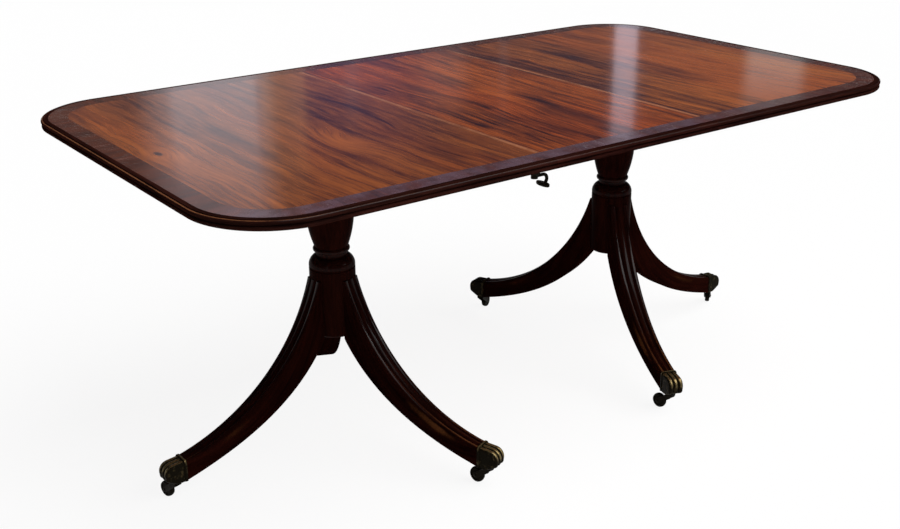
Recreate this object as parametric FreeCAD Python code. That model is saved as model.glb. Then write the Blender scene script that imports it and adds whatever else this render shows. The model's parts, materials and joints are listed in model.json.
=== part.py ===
import FreeCAD
import Part
import math
import os

# Double pedestal dining table. All sizes are in millimetres.
# X runs along the length, Y across the width, Z up. The origin is on the floor under the middle of the top.
# Each end is drawn with its seam at x = 0 and its top reaching towards -X, then moved or turned into place.

# Table top
table_height = 762.0
table_width = 1020.0
end_length = 683.0
leaf_length = 452.0
corner_radius = 170.0
top_thickness = 20.0
seam_gap = 0.4

# Moulded edge and crossband
moulding_width = 16.0
edge_reed_radius = 4.2
upper_reed_drop = 5.4
lower_reed_setback = 0.8
edge_groove_depth = 5.6
band_width = 57.0
band_thickness = 3.0

# Dowels that keep the tops level at the seams
dowel_radius = 5.0
dowel_grip = 22.0
dowel_reach = 20.0
dowel_spacing = 300.0
dowel_fit = 0.08
dowel_end_space = 2.0

# Bearers and block under each end
bearer_width = 44.0
bearer_depth = 32.0
bearer_spacing = 200.0
bearer_seam_margin = 40.0
bearer_end_margin = 90.0
bearer_tip_depth = 12.0
bearer_taper = 80.0
block_length = 250.0
block_width = 250.0
block_depth = 36.0
block_chamfer = 8.0

# Turned column, heights measured from the floor
pedestal_from_seam = 201.0
hub_bottom = 280.0
hub_radius = 51.5
hub_flat = 44.0
hub_chamfer = 4.0
groove_height = 436.0
groove_depth = 2.2
collar_shoulder_height = 440.0
collar_top_height = 461.0
collar_top_radius = 40.0
neck_radius = 34.0
neck_bottom_height = 463.0
bead_bottom_height = 472.0
bead_height = 11.0
bead_rise = 7.0
urn_foot_radius = 37.0
urn_widest_height = 570.0
urn_widest_radius = 53.0
urn_shoulder_radius = 43.0
cap_height = 29.0
cap_ring_rise = 7.0
cap_ring_height = 14.0
cap_plate_radius = 52.0
cap_plate_height = 7.0
tenon_radius = 22.0
tenon_fit = 0.1

# Sabre legs. Both long curves of a leg are drawn from one sweep centre above the toe: each is a
# cubic blend of four radii, from level at the top of the leg to plumb at the toe. A curve starts at a
# distance from the column's axis, ends at a height, and its two inner radii fall short of the outer ones.
leg_top_height = 414.0
end_leg_reach = 399.0
side_leg_reach = 385.0
toe_top = 99.0
toe_bottom = 50.0
upper_curve_start = 53.0
upper_hub_hollow = 52.0
upper_toe_hollow = 34.0
lower_curve_lead = 1.0
lower_hub_hollow = 15.0
lower_toe_hollow = 47.0
leg_sections = 9
leg_hub_width = 48.0
leg_toe_width = 37.0
leg_reed_depth = 3.4
centre_reed_share = 0.42
side_reed_drop = 0.8
dovetail_neck = 18.0
dovetail_tail = 27.0
dovetail_depth = 20.0
dovetail_height = 112.0
dovetail_fit = 0.1

# Directions of the legs from their columns, in degrees from +X
leg_directions = {
    "left_end": 182.6,
    "left_near": 291.4,
    "left_far": 66.0,
    "right_end": 1.0,
    "right_near": 249.2,
    "right_far": 108.7,
}

# Brass toe caps
cap_wall = 3.0
cap_floor = 6.0
cap_roof = 9.0
cap_collar_length = 7.0
cap_collar_proud = 1.8
cap_lobe_reach = 52.0
cap_lobe_width = 12.8
cap_lobe_pitch = 12.2
cap_nose_radius = 21.0
cap_lobe_round = 5.4
cap_front_lean = 4.0
cap_toe_rise = 11.0
toe_tenon_length = 28.0
toe_fit = 0.1

# Casters
swivel_from_cap = 20.0
stem_radius = 4.0
stem_fit = 0.06
stem_head_radius = 6.0
stem_head_height = 2.0
stem_head_gap = 1.0
swivel_gap = 0.3
neck_boss_radius = 8.5
crown_length = 18.0
crown_height = 6.5
crown_rise = 1.0
wheel_radius = 18.0
wheel_thickness = 13.0
wheel_hub_radius = 6.0
wheel_rim_width = 5.0
wheel_rim_setback = 0.6
wheel_web_setback = 2.2
wheel_crown = 1.6
wheel_side_gap = 0.3
fork_arm_thickness = 2.5
fork_arm_radius = 6.5
caster_trail = 32.0
axle_radius = 2.5
axle_fit = 0.05
axle_head_radius = 3.8
axle_head_height = 1.4

# Slack for picking a cap's edges by where they lie
pick_slack = 0.1

# Directions in which the casters trail as the table stands, in degrees from +X
trail_angles = {
    "left_end": 104.0,
    "left_near": 103.0,
    "left_far": 105.0,
    "right_end": 38.0,
    "right_near": 94.0,
    "right_far": 27.0,
}

# Iron spider under each hub
spider_thickness = 3.0
spider_disc_radius = 22.0
spider_screw_reach = 33.0
spider_leg_gap = 1.0

# Countersunk wood screws, all of one size and all driven upwards
screw_length = 32.0
screw_radius = 2.4
screw_head_radius = 4.8
screw_head_height = 2.8
screw_tip_height = 5.0
screw_grip = 18.0
screw_fit = 0.05
counterbore_radius = 6.5
bearer_screw_inset = 25.0
block_screw_spacing = 190.0

# Hook catch at each seam
catch_from_seam = 26.0
catch_from_edge = 36.0
case_thickness = 2.5
case_dome_height = 10.5
case_dome_radius = 13.0
case_dome_tip_radius = 9.0
case_dome_shoulder = 1.0
case_margin = 4.0
case_corner_radius = 5.0
spindle_radius = 4.0
spindle_fit = 0.08
lever_gap = 0.3
cam_thickness = 4.0
cam_lift = 2.0
cam_reach = 36.0
cam_width = 8.0
cam_barb_length = 8.0
cam_barb_width = 6.4
cam_clearance = 1.5
lever_boss_radius = 7.0
lever_boss_height = 8.0
lever_bar_radius = 3.4
lever_arm_reach = 22.0
lever_crank_radius = 9.5
thumb_length = 36.0
thumb_width = 15.0
thumb_thickness = 7.0
thumb_round = 2.4
strike_thickness = 3.0
strike_height = 9.5
strike_margin = 9.0

# Heights and places that follow from the sizes above
underside = table_height - top_thickness
bearer_bottom = underside - bearer_depth
column_top = bearer_bottom - block_depth
catch_y = catch_from_edge - table_width / 2
cam_sweep = cam_reach + cam_clearance


def point(x, y, z):
    return FreeCAD.Vector(x, y, z)


def line(start, end):
    return Part.LineSegment(start, end).toShape()


def arc(start, middle, end):
    return Part.Arc(start, middle, end).toShape()


def prism(edges, height):
    """Solid made by lifting a closed outline straight up."""
    return Part.Face(Part.Wire(edges)).extrude(point(0, 0, height))


def box(x_range, y_range, z_range):
    corner = point(x_range[0], y_range[0], z_range[0])
    return Part.makeBox(x_range[1] - x_range[0], y_range[1] - y_range[0], z_range[1] - z_range[0], corner)


def rod(radius, bottom, top, x=0.0, y=0.0):
    return Part.makeCylinder(radius, top - bottom, point(x, y, bottom))


def turned(edges):
    """Solid of revolution about Z from an outline in the XZ plane."""
    return Part.Face(Part.Wire(edges)).revolve(point(0, 0, 0), point(0, 0, 1), 360)


def joined(solids):
    return solids[0].multiFuse(solids[1:]).removeSplitter()


def at(shape, x, y):
    return shape.translated(point(x, y, 0))


def about_z(shape, angle):
    return shape.rotated(point(0, 0, 0), point(0, 0, 1), angle)


# Tops

def end_outline_edges(inset, height):
    """Outline of an end top set in from its moulded edge, open at the seam, from near side to far side."""
    side = table_width / 2 - inset
    outer = inset - end_length
    radius = corner_radius - inset
    seam = -seam_gap / 2
    slant = radius * (1 - math.sqrt(0.5))
    return [
        line(point(seam, -side, height), point(outer + radius, -side, height)),
        arc(
            point(outer + radius, -side, height),
            point(outer + slant, -side + slant, height),
            point(outer, -side + radius, height),
        ),
        line(point(outer, -side + radius, height), point(outer, side - radius, height)),
        arc(
            point(outer, side - radius, height),
            point(outer + slant, side - slant, height),
            point(outer + radius, side, height),
        ),
        line(point(outer + radius, side, height), point(seam, side, height)),
    ]


def end_slab(inset, bottom, top):
    side = table_width / 2 - inset
    seam = -seam_gap / 2
    closing = line(point(seam, side, bottom), point(seam, -side, bottom))
    return prism(end_outline_edges(inset, bottom) + [closing], top - bottom)


def edge_profile(x):
    """Edge of the top on its near side, in the plane at x: quirk, full reed, groove and lower reed."""
    inner = moulding_width - table_width / 2
    outer = -table_width / 2
    upper_y = outer + edge_reed_radius
    upper_z = table_height - upper_reed_drop
    lower_y = upper_y + lower_reed_setback
    lower_z = underside + edge_reed_radius

    def on_reed(y, z, angle):
        turn = math.radians(angle)
        return point(x, y - edge_reed_radius * math.cos(turn), z + edge_reed_radius * math.sin(turn))

    upper_start = on_reed(upper_y, upper_z, 120)
    upper_end = on_reed(upper_y, upper_z, -70)
    lower_start = on_reed(lower_y, lower_z, 80)
    lower_end = on_reed(lower_y, lower_z, -90)
    quirk = point(x, upper_start.y + quirk_slope(), table_height)
    groove = point(x, outer + edge_groove_depth, (upper_end.z + lower_start.z) / 2)
    inner_top = point(x, inner, table_height)
    inner_bottom = point(x, inner, underside)
    return Part.Wire([
        line(inner_top, quirk),
        line(quirk, upper_start),
        arc(upper_start, on_reed(upper_y, upper_z, 25), upper_end),
        line(upper_end, groove),
        line(groove, lower_start),
        arc(lower_start, on_reed(lower_y, lower_z, 0), lower_end),
        line(lower_end, inner_bottom),
        line(inner_bottom, inner_top),
    ])


def quirk_slope():
    """Run of the small slope between the flat of the top and the upper reed."""
    return (upper_reed_drop - edge_reed_radius) / 4


def end_moulding():
    path = Part.Wire(end_outline_edges(moulding_width, table_height))
    sweep = Part.BRepOffsetAPI.MakePipeShell(path)
    sweep.setBiNormalMode(point(0, 0, 1))
    sweep.add(edge_profile(-seam_gap / 2))
    sweep.build()
    sweep.makeSolid()
    return sweep.shape()


def end_crossband():
    bottom = table_height - band_thickness
    band = end_slab(moulding_width, bottom, table_height)
    return band.cut(end_slab(band_width, bottom, table_height))


def dowel_rows():
    height = table_height - top_thickness / 2
    return [(y, height) for y in (-dowel_spacing, 0.0, dowel_spacing)]


def dowels(seam_x):
    """Three pins on one seam, gripped on the +X side and reaching out towards -X."""
    length = dowel_grip + dowel_reach
    pins = []
    for y, z in dowel_rows():
        start = point(seam_x - dowel_reach, y, z)
        pins.append(Part.makeCylinder(dowel_radius, length, start, point(1, 0, 0)))
    return Part.makeCompound(pins)


def dowel_holes(seam_x, depth, direction, clearance):
    holes = []
    for y, z in dowel_rows():
        start = point(seam_x, y, z)
        holes.append(Part.makeCylinder(dowel_radius + clearance, depth, start, point(direction, 0, 0)))
    return Part.makeCompound(holes)


def end_board(is_socketed):
    board = end_slab(moulding_width, underside, table_height)
    board = board.cut(end_crossband())
    seam = -seam_gap / 2
    if is_socketed:
        holes = dowel_holes(seam, dowel_reach + dowel_end_space, -1, dowel_fit)
    else:
        holes = dowel_holes(seam, dowel_grip - seam_gap / 2, -1, 0.0)
    board = board.cut(holes)
    board = board.cut(catch_recess())
    return board.cut(screw_holes(bearer_screw_places(), underside - screw_grip))


def leaf_side_bands():
    half = (leaf_length - seam_gap) / 2
    inner = table_width / 2 - band_width
    outer = table_width / 2 - moulding_width
    height = (table_height - band_thickness, table_height)
    near = box((-half, half), (-outer, -inner), height)
    far = box((-half, half), (inner, outer), height)
    return near, far


def leaf_moulding():
    """Edge moulding of the leaf's near side; the far one is the same strip turned half round."""
    half = (leaf_length - seam_gap) / 2
    return Part.Face(edge_profile(-half)).extrude(point(2 * half, 0, 0))


def leaf_board():
    half = (leaf_length - seam_gap) / 2
    side = table_width / 2 - moulding_width
    board = box((-half, half), (-side, side), (underside, table_height))
    for band in leaf_side_bands():
        board = board.cut(band)
    board = board.cut(dowel_holes(-half, dowel_grip - seam_gap / 2, 1, 0.0))
    board = board.cut(dowel_holes(half, dowel_reach + dowel_end_space, -1, dowel_fit))
    for angle in (0, 180):
        board = board.cut(about_z(strike_pocket(), angle))
    return board


# Bearers, block and screws

def bearer_span():
    return bearer_end_margin - end_length, -bearer_seam_margin


def bearer(y):
    """Rail under the top with its ends swept up in a hollow curve."""
    start, end = bearer_span()
    low = bearer_bottom
    tip = underside - bearer_tip_depth
    dip = (bearer_depth - bearer_tip_depth) * 0.3
    front = y - bearer_width / 2

    def at_xz(x, z):
        return point(x, front, z)

    outline = [
        line(at_xz(start, underside), at_xz(start, tip)),
        arc(
            at_xz(start, tip),
            at_xz(start + bearer_taper / 2, (tip + low) / 2 + dip),
            at_xz(start + bearer_taper, low),
        ),
        line(at_xz(start + bearer_taper, low), at_xz(end - bearer_taper, low)),
        arc(
            at_xz(end - bearer_taper, low),
            at_xz(end - bearer_taper / 2, (tip + low) / 2 + dip),
            at_xz(end, tip),
        ),
        line(at_xz(end, tip), at_xz(end, underside)),
        line(at_xz(end, underside), at_xz(start, underside)),
    ]
    return Part.Face(Part.Wire(outline)).extrude(point(0, bearer_width, 0))


def bearer_screw_places():
    start, end = bearer_span()
    inset = bearer_taper + bearer_screw_inset
    return [(x, y) for x in (start + inset, end - inset) for y in bearer_rows()]


def bearer_rows():
    return -bearer_spacing / 2, bearer_spacing / 2


def block_screw_places():
    half = block_screw_spacing / 2
    return [(x - pedestal_from_seam, y) for x in (-half, half) for y in bearer_rows()]


def spider_screw_places(angles):
    places = []
    for angle in angles.values():
        turn = math.radians(angle)
        reach = spider_screw_reach
        places.append((reach * math.cos(turn) - pedestal_from_seam, reach * math.sin(turn)))
    return places


def screw(clearance=0.0):
    """Countersunk screw pointing up, its flat head at z = 0; a clearance makes the hole that it fills."""
    shank = screw_radius + clearance
    head = screw_head_radius + clearance
    tip_start = screw_length - screw_tip_height
    return turned([
        line(point(0, 0, 0), point(head, 0, 0)),
        line(point(head, 0, 0), point(shank, 0, screw_head_height)),
        line(point(shank, 0, screw_head_height), point(shank, 0, tip_start)),
        line(point(shank, 0, tip_start), point(0, 0, screw_length)),
        line(point(0, 0, screw_length), point(0, 0, 0)),
    ])


def screws_at(places, height, clearance=0.0):
    return [screw(clearance).translated(point(x, y, height)) for x, y in places]


def screw_holes(places, height):
    return Part.makeCompound(screws_at(places, height, screw_fit))


def counterbores(places, bottom, height):
    return Part.makeCompound([rod(counterbore_radius, bottom, height, x, y) for x, y in places])


def end_bearers():
    rails = []
    head = underside - screw_grip
    for y in bearer_rows():
        rail = bearer(y)
        rail = rail.cut(screw_holes(bearer_screw_places(), head))
        rail = rail.cut(counterbores(bearer_screw_places(), bearer_bottom, head))
        rails.append(rail.cut(screw_holes(block_screw_places(), bearer_bottom - screw_grip)))
    return Part.makeCompound(rails)


def end_block():
    centre = -pedestal_from_seam
    length = (centre - block_length / 2, centre + block_length / 2)
    block = box(length, (-block_width / 2, block_width / 2), (column_top, bearer_bottom))
    lower = [edge for edge in block.Edges if edge.BoundBox.ZMax < column_top + block_depth / 2]
    block = block.makeChamfer(block_chamfer, lower)
    head = bearer_bottom - screw_grip
    block = block.cut(rod(tenon_radius + tenon_fit, column_top, bearer_bottom, centre))
    block = block.cut(screw_holes(block_screw_places(), head))
    return block.cut(counterbores(block_screw_places(), column_top, head))


def end_screws(angles):
    solids = screws_at(bearer_screw_places(), underside - screw_grip)
    solids += screws_at(block_screw_places(), bearer_bottom - screw_grip)
    solids += screws_at(spider_screw_places(angles), hub_bottom - spider_thickness)
    return Part.makeCompound(solids)


# Pedestal

def leg_angles(side, side_angle):
    """Directions of an end's three legs before the end is turned into place."""
    return {place: leg_directions[side + "_" + place] - side_angle for place in ("end", "near", "far")}


def swell(widest_radius, widest_height, end_radius, end_height):
    """Middle point of a round curve that is plumb at its widest height and passes through its end."""
    rise = end_height - widest_height
    inset = widest_radius - end_radius
    radius = (inset * inset + rise * rise) / (2 * inset)
    half_rise = rise / 2
    x = widest_radius - radius + math.sqrt(radius * radius - half_rise * half_rise)
    return point(x, 0, widest_height + half_rise)


def column(angles):
    """Turned column: hub, grooved collar, neck, bead, urn, cap and tenon, with slots for the legs."""
    bead_top = bead_bottom_height + bead_height
    bead_middle = point(neck_radius + bead_rise, 0, bead_bottom_height + bead_height / 2)
    cap_foot = column_top - cap_height
    ring_top = column_top - cap_plate_height
    ring_bottom = ring_top - cap_ring_height
    tenon_top = bearer_bottom
    hub_foot = point(hub_radius, 0, hub_bottom + hub_chamfer)
    groove_low = point(hub_radius, 0, groove_height - groove_depth)
    groove_high = point(hub_radius, 0, groove_height + groove_depth)
    shoulder = point(hub_radius, 0, collar_shoulder_height)
    collar_top = point(collar_top_radius, 0, collar_top_height)
    neck_low = point(neck_radius, 0, neck_bottom_height)
    bead_low = point(neck_radius, 0, bead_bottom_height)
    bead_high = point(neck_radius, 0, bead_top)
    urn_foot = point(urn_foot_radius, 0, bead_top)
    urn_widest = point(urn_widest_radius, 0, urn_widest_height)
    urn_top = point(urn_shoulder_radius, 0, cap_foot)
    ring_low = point(urn_shoulder_radius, 0, ring_bottom)
    ring_high = point(urn_shoulder_radius, 0, ring_top)
    collar_swell = swell(hub_radius, collar_shoulder_height, collar_top_radius, collar_top_height)
    ring_middle = point(urn_shoulder_radius + cap_ring_rise, 0, (ring_low.z + ring_high.z) / 2)
    outline = [
        line(point(0, 0, hub_bottom), point(hub_radius - hub_chamfer, 0, hub_bottom)),
        line(point(hub_radius - hub_chamfer, 0, hub_bottom), hub_foot),
        line(hub_foot, groove_low),
        arc(groove_low, point(hub_radius - groove_depth, 0, groove_height), groove_high),
        line(groove_high, shoulder),
        arc(shoulder, collar_swell, collar_top),
        line(collar_top, neck_low),
        line(neck_low, bead_low),
        arc(bead_low, bead_middle, bead_high),
        line(bead_high, urn_foot),
        arc(urn_foot, swell(urn_widest_radius, urn_widest_height, urn_foot_radius, bead_top), urn_widest),
        arc(urn_widest, swell(urn_widest_radius, urn_widest_height, urn_shoulder_radius, cap_foot), urn_top),
        line(urn_top, ring_low),
        arc(ring_low, ring_middle, ring_high),
        line(ring_high, point(cap_plate_radius, 0, ring_top)),
        line(point(cap_plate_radius, 0, ring_top), point(cap_plate_radius, 0, column_top)),
        line(point(cap_plate_radius, 0, column_top), point(tenon_radius, 0, column_top)),
        line(point(tenon_radius, 0, column_top), point(tenon_radius, 0, tenon_top)),
        line(point(tenon_radius, 0, tenon_top), point(0, 0, tenon_top)),
        line(point(0, 0, tenon_top), point(0, 0, hub_bottom)),
    ]
    body = turned(outline)
    beyond = 2 * hub_radius
    for angle in angles.values():
        flat = box((hub_flat, beyond), (-hub_radius, hub_radius), (hub_bottom, leg_top_height))
        body = body.cut(about_z(flat, angle))
        body = body.cut(about_z(dovetail(dovetail_fit), angle))
    body = at(body, -pedestal_from_seam, 0)
    return body.cut(screw_holes(spider_screw_places(angles), hub_bottom - spider_thickness))


def dovetail(clearance):
    """Tongue on the inner end of a leg, or with a clearance the slot for it, open below."""
    neck = dovetail_neck / 2 + clearance
    tail = dovetail_tail / 2 + clearance
    inner = hub_flat - dovetail_depth - clearance
    corners = [
        point(hub_flat, -neck, hub_bottom),
        point(hub_flat, neck, hub_bottom),
        point(inner, tail, hub_bottom),
        point(inner, -tail, hub_bottom),
    ]
    edges = [line(corners[i], corners[(i + 1) % 4]) for i in range(4)]
    return prism(edges, dovetail_height + clearance)


def blend(values, share):
    """Cubic blend of four values."""
    rest = 1 - share
    weights = (rest ** 3, 3 * rest ** 2 * share, 3 * rest * share ** 2, share ** 3)
    return sum(weight * value for weight, value in zip(weights, values))


def leg_reach(place):
    """Distance of a leg's toe from the column's axis."""
    return end_leg_reach if place == "end" else side_leg_reach


def curve_radii(first, end_height, hub_hollow, toe_hollow):
    """Four radii of a leg's long curve about its sweep centre, from the hub to the toe."""
    last = leg_top_height - end_height
    return first, first - hub_hollow, last - toe_hollow, last


def leg_section(reach, share):
    """Cross-section of a leg, square to its curve: flat below, with three reeds along the upper face."""
    angle = math.radians(180 + 90 * share)
    upper = blend(curve_radii(reach - upper_curve_start, toe_top, upper_hub_hollow, upper_toe_hollow), share)
    lower_start = reach + lower_curve_lead
    lower = blend(curve_radii(lower_start, toe_bottom, lower_hub_hollow, lower_toe_hollow), share)
    middle = reach + (upper + lower) / 2 * math.cos(angle)
    run = max(0.0, (middle - hub_flat) / (reach - hub_flat))
    half = (leg_hub_width + (leg_toe_width - leg_hub_width) * run) / 2
    inner = half * centre_reed_share

    def place(radius, y):
        return point(reach + radius * math.cos(angle), y, leg_top_height + radius * math.sin(angle))

    base = upper + leg_reed_depth
    side_top = upper + side_reed_drop
    side_middle = (half + inner) / 2
    return Part.Wire([
        line(place(lower, -half), place(lower, half)),
        line(place(lower, half), place(base, half)),
        arc(place(base, half), place(side_top, side_middle), place(base, inner)),
        arc(place(base, inner), place(upper, 0), place(base, -inner)),
        arc(place(base, -inner), place(side_top, -side_middle), place(base, -half)),
        line(place(base, -half), place(lower, -half)),
    ])


def toe_tenon(reach, clearance):
    """Wooden tongue at the toe, or with a clearance the socket in the cap."""
    half = leg_toe_width / 2 - cap_wall + clearance
    low = toe_bottom + cap_floor - clearance
    high = toe_top - cap_roof + clearance
    end = reach + toe_tenon_length + clearance
    return box((reach, end), (-half, half), (low, high))


def leg(reach):
    """Sabre leg pointing along +X from the pedestal's axis."""
    sections = [leg_section(reach, i / (leg_sections - 1)) for i in range(leg_sections)]
    body = Part.makeLoft(sections, True, False)
    behind = box((-reach, hub_flat), (-leg_hub_width, leg_hub_width), (0, table_height))
    body = body.cut(behind)
    body = joined([body, dovetail(0.0), toe_tenon(reach, 0.0)])
    pocket_top = toe_bottom + cap_floor + swivel_gap + 2 * stem_head_height
    pocket = rod(stem_head_radius + stem_head_gap, toe_bottom, pocket_top, reach + swivel_from_cap)
    body = body.cut(pocket)
    spider_hole = screw(screw_fit).translated(point(spider_screw_reach, 0, hub_bottom - spider_thickness))
    return body.cut(spider_hole)


def toe_lobe(reach, y):
    """One rounded lobe of a toe cap: a leaning block with a round nose and a lifted toe."""
    back = reach + cap_collar_length / 2
    front = reach + cap_lobe_reach
    side = y - cap_lobe_width / 2
    corners = [
        point(back, side, toe_bottom),
        point(back, side, toe_top - side_reed_drop),
        point(front, side, toe_top - cap_front_lean),
        point(front - cap_front_lean, side, toe_bottom + cap_toe_rise),
        point(reach + swivel_from_cap + neck_boss_radius, side, toe_bottom),
    ]
    count = len(corners)
    edges = [line(corners[i], corners[(i + 1) % count]) for i in range(count)]
    lobe = Part.Face(Part.Wire(edges)).extrude(point(0, cap_lobe_width, 0))
    middle_z = (toe_top + toe_bottom) / 2
    nose = [e for e in lobe.Edges if e.BoundBox.XMin > front - pick_slack and e.BoundBox.ZMin > middle_z]
    lobe = lobe.makeFillet(cap_nose_radius, nose)
    rims = []
    for edge in lobe.Edges:
        extent = edge.BoundBox
        lies_in_side = extent.YMax - extent.YMin < 0.01
        is_back = extent.XMax < back + pick_slack
        is_bottom = extent.ZMax < toe_bottom + pick_slack
        if lies_in_side and not is_back and not is_bottom:
            rims.append(edge)
    return lobe.makeFillet(cap_lobe_round, rims)


def toe_cap(reach):
    """Cast brass cap: a raised collar, three lobes over the toe and a bored floor for the caster's stem."""
    half = leg_toe_width / 2 + cap_collar_proud
    front = reach + cap_collar_length
    collar = box((reach, front), (-half, half), (toe_bottom, toe_top + cap_collar_proud))
    above = [e for e in collar.Edges if e.BoundBox.ZMax > toe_bottom + pick_slack]
    raised = [e for e in above if e.BoundBox.XMax > front - pick_slack]
    collar = collar.makeFillet(cap_collar_proud, raised)
    lobes = [toe_lobe(reach, i * cap_lobe_pitch) for i in (-1, 0, 1)]
    cap = joined([collar] + lobes)
    cap = cap.cut(toe_tenon(reach, toe_fit))
    return cap.cut(rod(stem_radius + stem_fit, toe_bottom, toe_bottom + cap_floor, reach + swivel_from_cap))


def spider(angles):
    """Three-armed iron plate that keeps the dovetails from dropping out of the hub."""
    low = hub_bottom - spider_thickness
    arms = [rod(spider_disc_radius, low, hub_bottom)]
    half = hub_flat - spider_leg_gap - spider_screw_reach
    for angle in angles.values():
        arm = box((0, spider_screw_reach), (-half, half), (low, hub_bottom))
        tip = rod(half, low, hub_bottom, spider_screw_reach)
        arms.append(about_z(arm, angle))
        arms.append(about_z(tip, angle))
    plate = at(joined(arms), -pedestal_from_seam, 0)
    return plate.cut(screw_holes(spider_screw_places(angles), low))


# Casters, drawn at the origin with the wheel trailing along +X

def obround(start, end, radius, y, thickness):
    """Plate in the XZ plane with round ends about two points given as (x, z)."""
    along = point(end[0] - start[0], 0, end[1] - start[1]).normalize() * radius
    across = point(-along.z, 0, along.x)
    first = point(start[0], y, start[1])
    last = point(end[0], y, end[1])
    edges = [
        line(first + across, last + across),
        arc(last + across, last + along, last - across),
        line(last - across, first - across),
        arc(first - across, first - along, first + across),
    ]
    return Part.Face(Part.Wire(edges)).extrude(point(0, thickness, 0))


def fork_inner():
    return wheel_thickness / 2 + wheel_side_gap


def caster_fork():
    """Yoke that swivels under the toe cap: riveted stem, boss, crown and two arms down to the axle."""
    top = toe_bottom - swivel_gap
    crown_top = top - swivel_gap
    crown_bottom = crown_top - crown_height
    inside_crown = (crown_top + crown_bottom) / 2
    head_low = toe_bottom + cap_floor + swivel_gap
    head_high = head_low + stem_head_height
    inner = fork_inner()
    outer = inner + fork_arm_thickness
    shoulder = (0.0, crown_top - crown_rise - fork_arm_radius)
    axle = (caster_trail, wheel_radius)
    crown = box((-crown_length / 2, crown_length / 2), (-outer, outer), (crown_bottom, crown_top))
    upright = [e for e in crown.Edges if e.BoundBox.ZMax - e.BoundBox.ZMin > crown_height / 2]
    crown = crown.makeFillet(fork_arm_thickness, upright)
    cheeks = obround(shoulder, axle, fork_arm_radius, -outer, 2 * outer)
    room = box((-2 * caster_trail, 2 * caster_trail), (-inner, inner), (0, crown_bottom))
    yoke = joined([crown, cheeks]).cut(room)
    boss = rod(neck_boss_radius, inside_crown, top)
    stem = rod(stem_radius, inside_crown, head_high)
    head = rod(stem_head_radius, head_low, head_high)
    return joined([yoke, boss, stem, head]).cut(axle_pin(axle_fit))


def along_axle(shape):
    """Turns a piece made about Z so that it lies across the fork at the axle."""
    laid = shape.rotated(point(0, 0, 0), point(1, 0, 0), 90)
    return laid.translated(point(caster_trail, 0, wheel_radius))


def dome_middle(rim, base, height):
    """Point halfway out on a low dome that is centred on Z."""
    radius = (rim * rim + height * height) / (2 * height)
    x = rim / 2
    return point(x, 0, base + height - radius + math.sqrt(radius * radius - x * x))


def axle_pin(clearance=0.0):
    """Riveted pin with a low round head outside each fork arm; a clearance makes its hole."""
    half = fork_inner() + fork_arm_thickness + clearance
    end = half + axle_head_height
    rim = axle_head_radius
    shank = axle_radius + clearance
    dome = dome_middle(rim, half, axle_head_height)
    return along_axle(turned([
        line(point(0, 0, -end), point(0, 0, end)),
        arc(point(0, 0, end), dome, point(rim, 0, half)),
        line(point(rim, 0, half), point(shank, 0, half)),
        line(point(shank, 0, half), point(shank, 0, -half)),
        line(point(shank, 0, -half), point(rim, 0, -half)),
        arc(point(rim, 0, -half), point(dome.x, 0, -dome.z), point(0, 0, -end)),
    ]))


def caster_wheel():
    """Small solid wheel with a crowned tread, a thin web and a hub that fills the fork."""
    hub = wheel_thickness / 2
    rim = hub - wheel_rim_setback
    web = hub - wheel_web_setback
    bore = axle_radius + axle_fit
    inner = wheel_radius - wheel_rim_width
    edge = wheel_radius - wheel_crown
    corners = [(bore, -hub), (bore, hub), (wheel_hub_radius, hub), (wheel_hub_radius, web), (inner, web)]
    corners += [(inner, rim), (edge, rim)]
    outline = [line(point(*a_to_xz(a)), point(*a_to_xz(b))) for a, b in zip(corners, corners[1:])]
    outline.append(arc(point(edge, 0, rim), point(wheel_radius, 0, 0), point(edge, 0, -rim)))
    back = [(edge, -rim), (inner, -rim), (inner, -web), (wheel_hub_radius, -web), (wheel_hub_radius, -hub)]
    back.append((bore, -hub))
    outline += [line(point(*a_to_xz(a)), point(*a_to_xz(b))) for a, b in zip(back, back[1:])]
    return along_axle(turned(outline))


def a_to_xz(pair):
    return pair[0], 0, pair[1]


# Hook catch, drawn about the lever's axis in its place on an end

def catch_x():
    return -catch_from_seam


def catch_floor():
    """Height of the underside of the cam, just above the case."""
    return underside + cam_lift


def catch_recess():
    """Space let into the underside of an end top for the cam to swing from the seam's line to across it."""
    top = catch_floor() + cam_thickness + cam_lift
    round_space = rod(cam_sweep, underside, top, catch_x(), catch_y)
    back = catch_x() - lever_boss_radius - cam_clearance
    low = catch_y - lever_boss_radius - cam_clearance
    limits = box((back, catch_from_seam), (low, catch_y + cam_sweep), (underside, top))
    return round_space.common(limits)


def catch_case():
    """Brass plate over the recess, with a domed bearing for the spindle."""
    low = underside - case_thickness
    x_range = (catch_x() - lever_boss_radius - 2 * case_margin, -case_margin)
    y_range = (catch_y - case_dome_radius - case_margin, catch_y + cam_sweep + case_margin)
    plate = box(x_range, y_range, (low, underside))
    upright = [e for e in plate.Edges if e.BoundBox.ZMax - e.BoundBox.ZMin > case_thickness / 2]
    plate = plate.makeFillet(case_corner_radius, upright)
    tip = low - case_dome_height
    dome = turned([
        line(point(0, 0, tip), point(case_dome_tip_radius, 0, tip)),
        arc(
            point(case_dome_tip_radius, 0, tip),
            point(case_dome_radius - case_dome_shoulder, 0, low - case_dome_height / 2),
            point(case_dome_radius, 0, low),
        ),
        line(point(case_dome_radius, 0, low), point(0, 0, low)),
        line(point(0, 0, low), point(0, 0, tip)),
    ])
    case = joined([plate, at(dome, catch_x(), catch_y)])
    return case.cut(rod(spindle_radius + spindle_fit, tip, underside, catch_x(), catch_y))


def lever_top():
    return underside - case_thickness - case_dome_height - lever_gap


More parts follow.
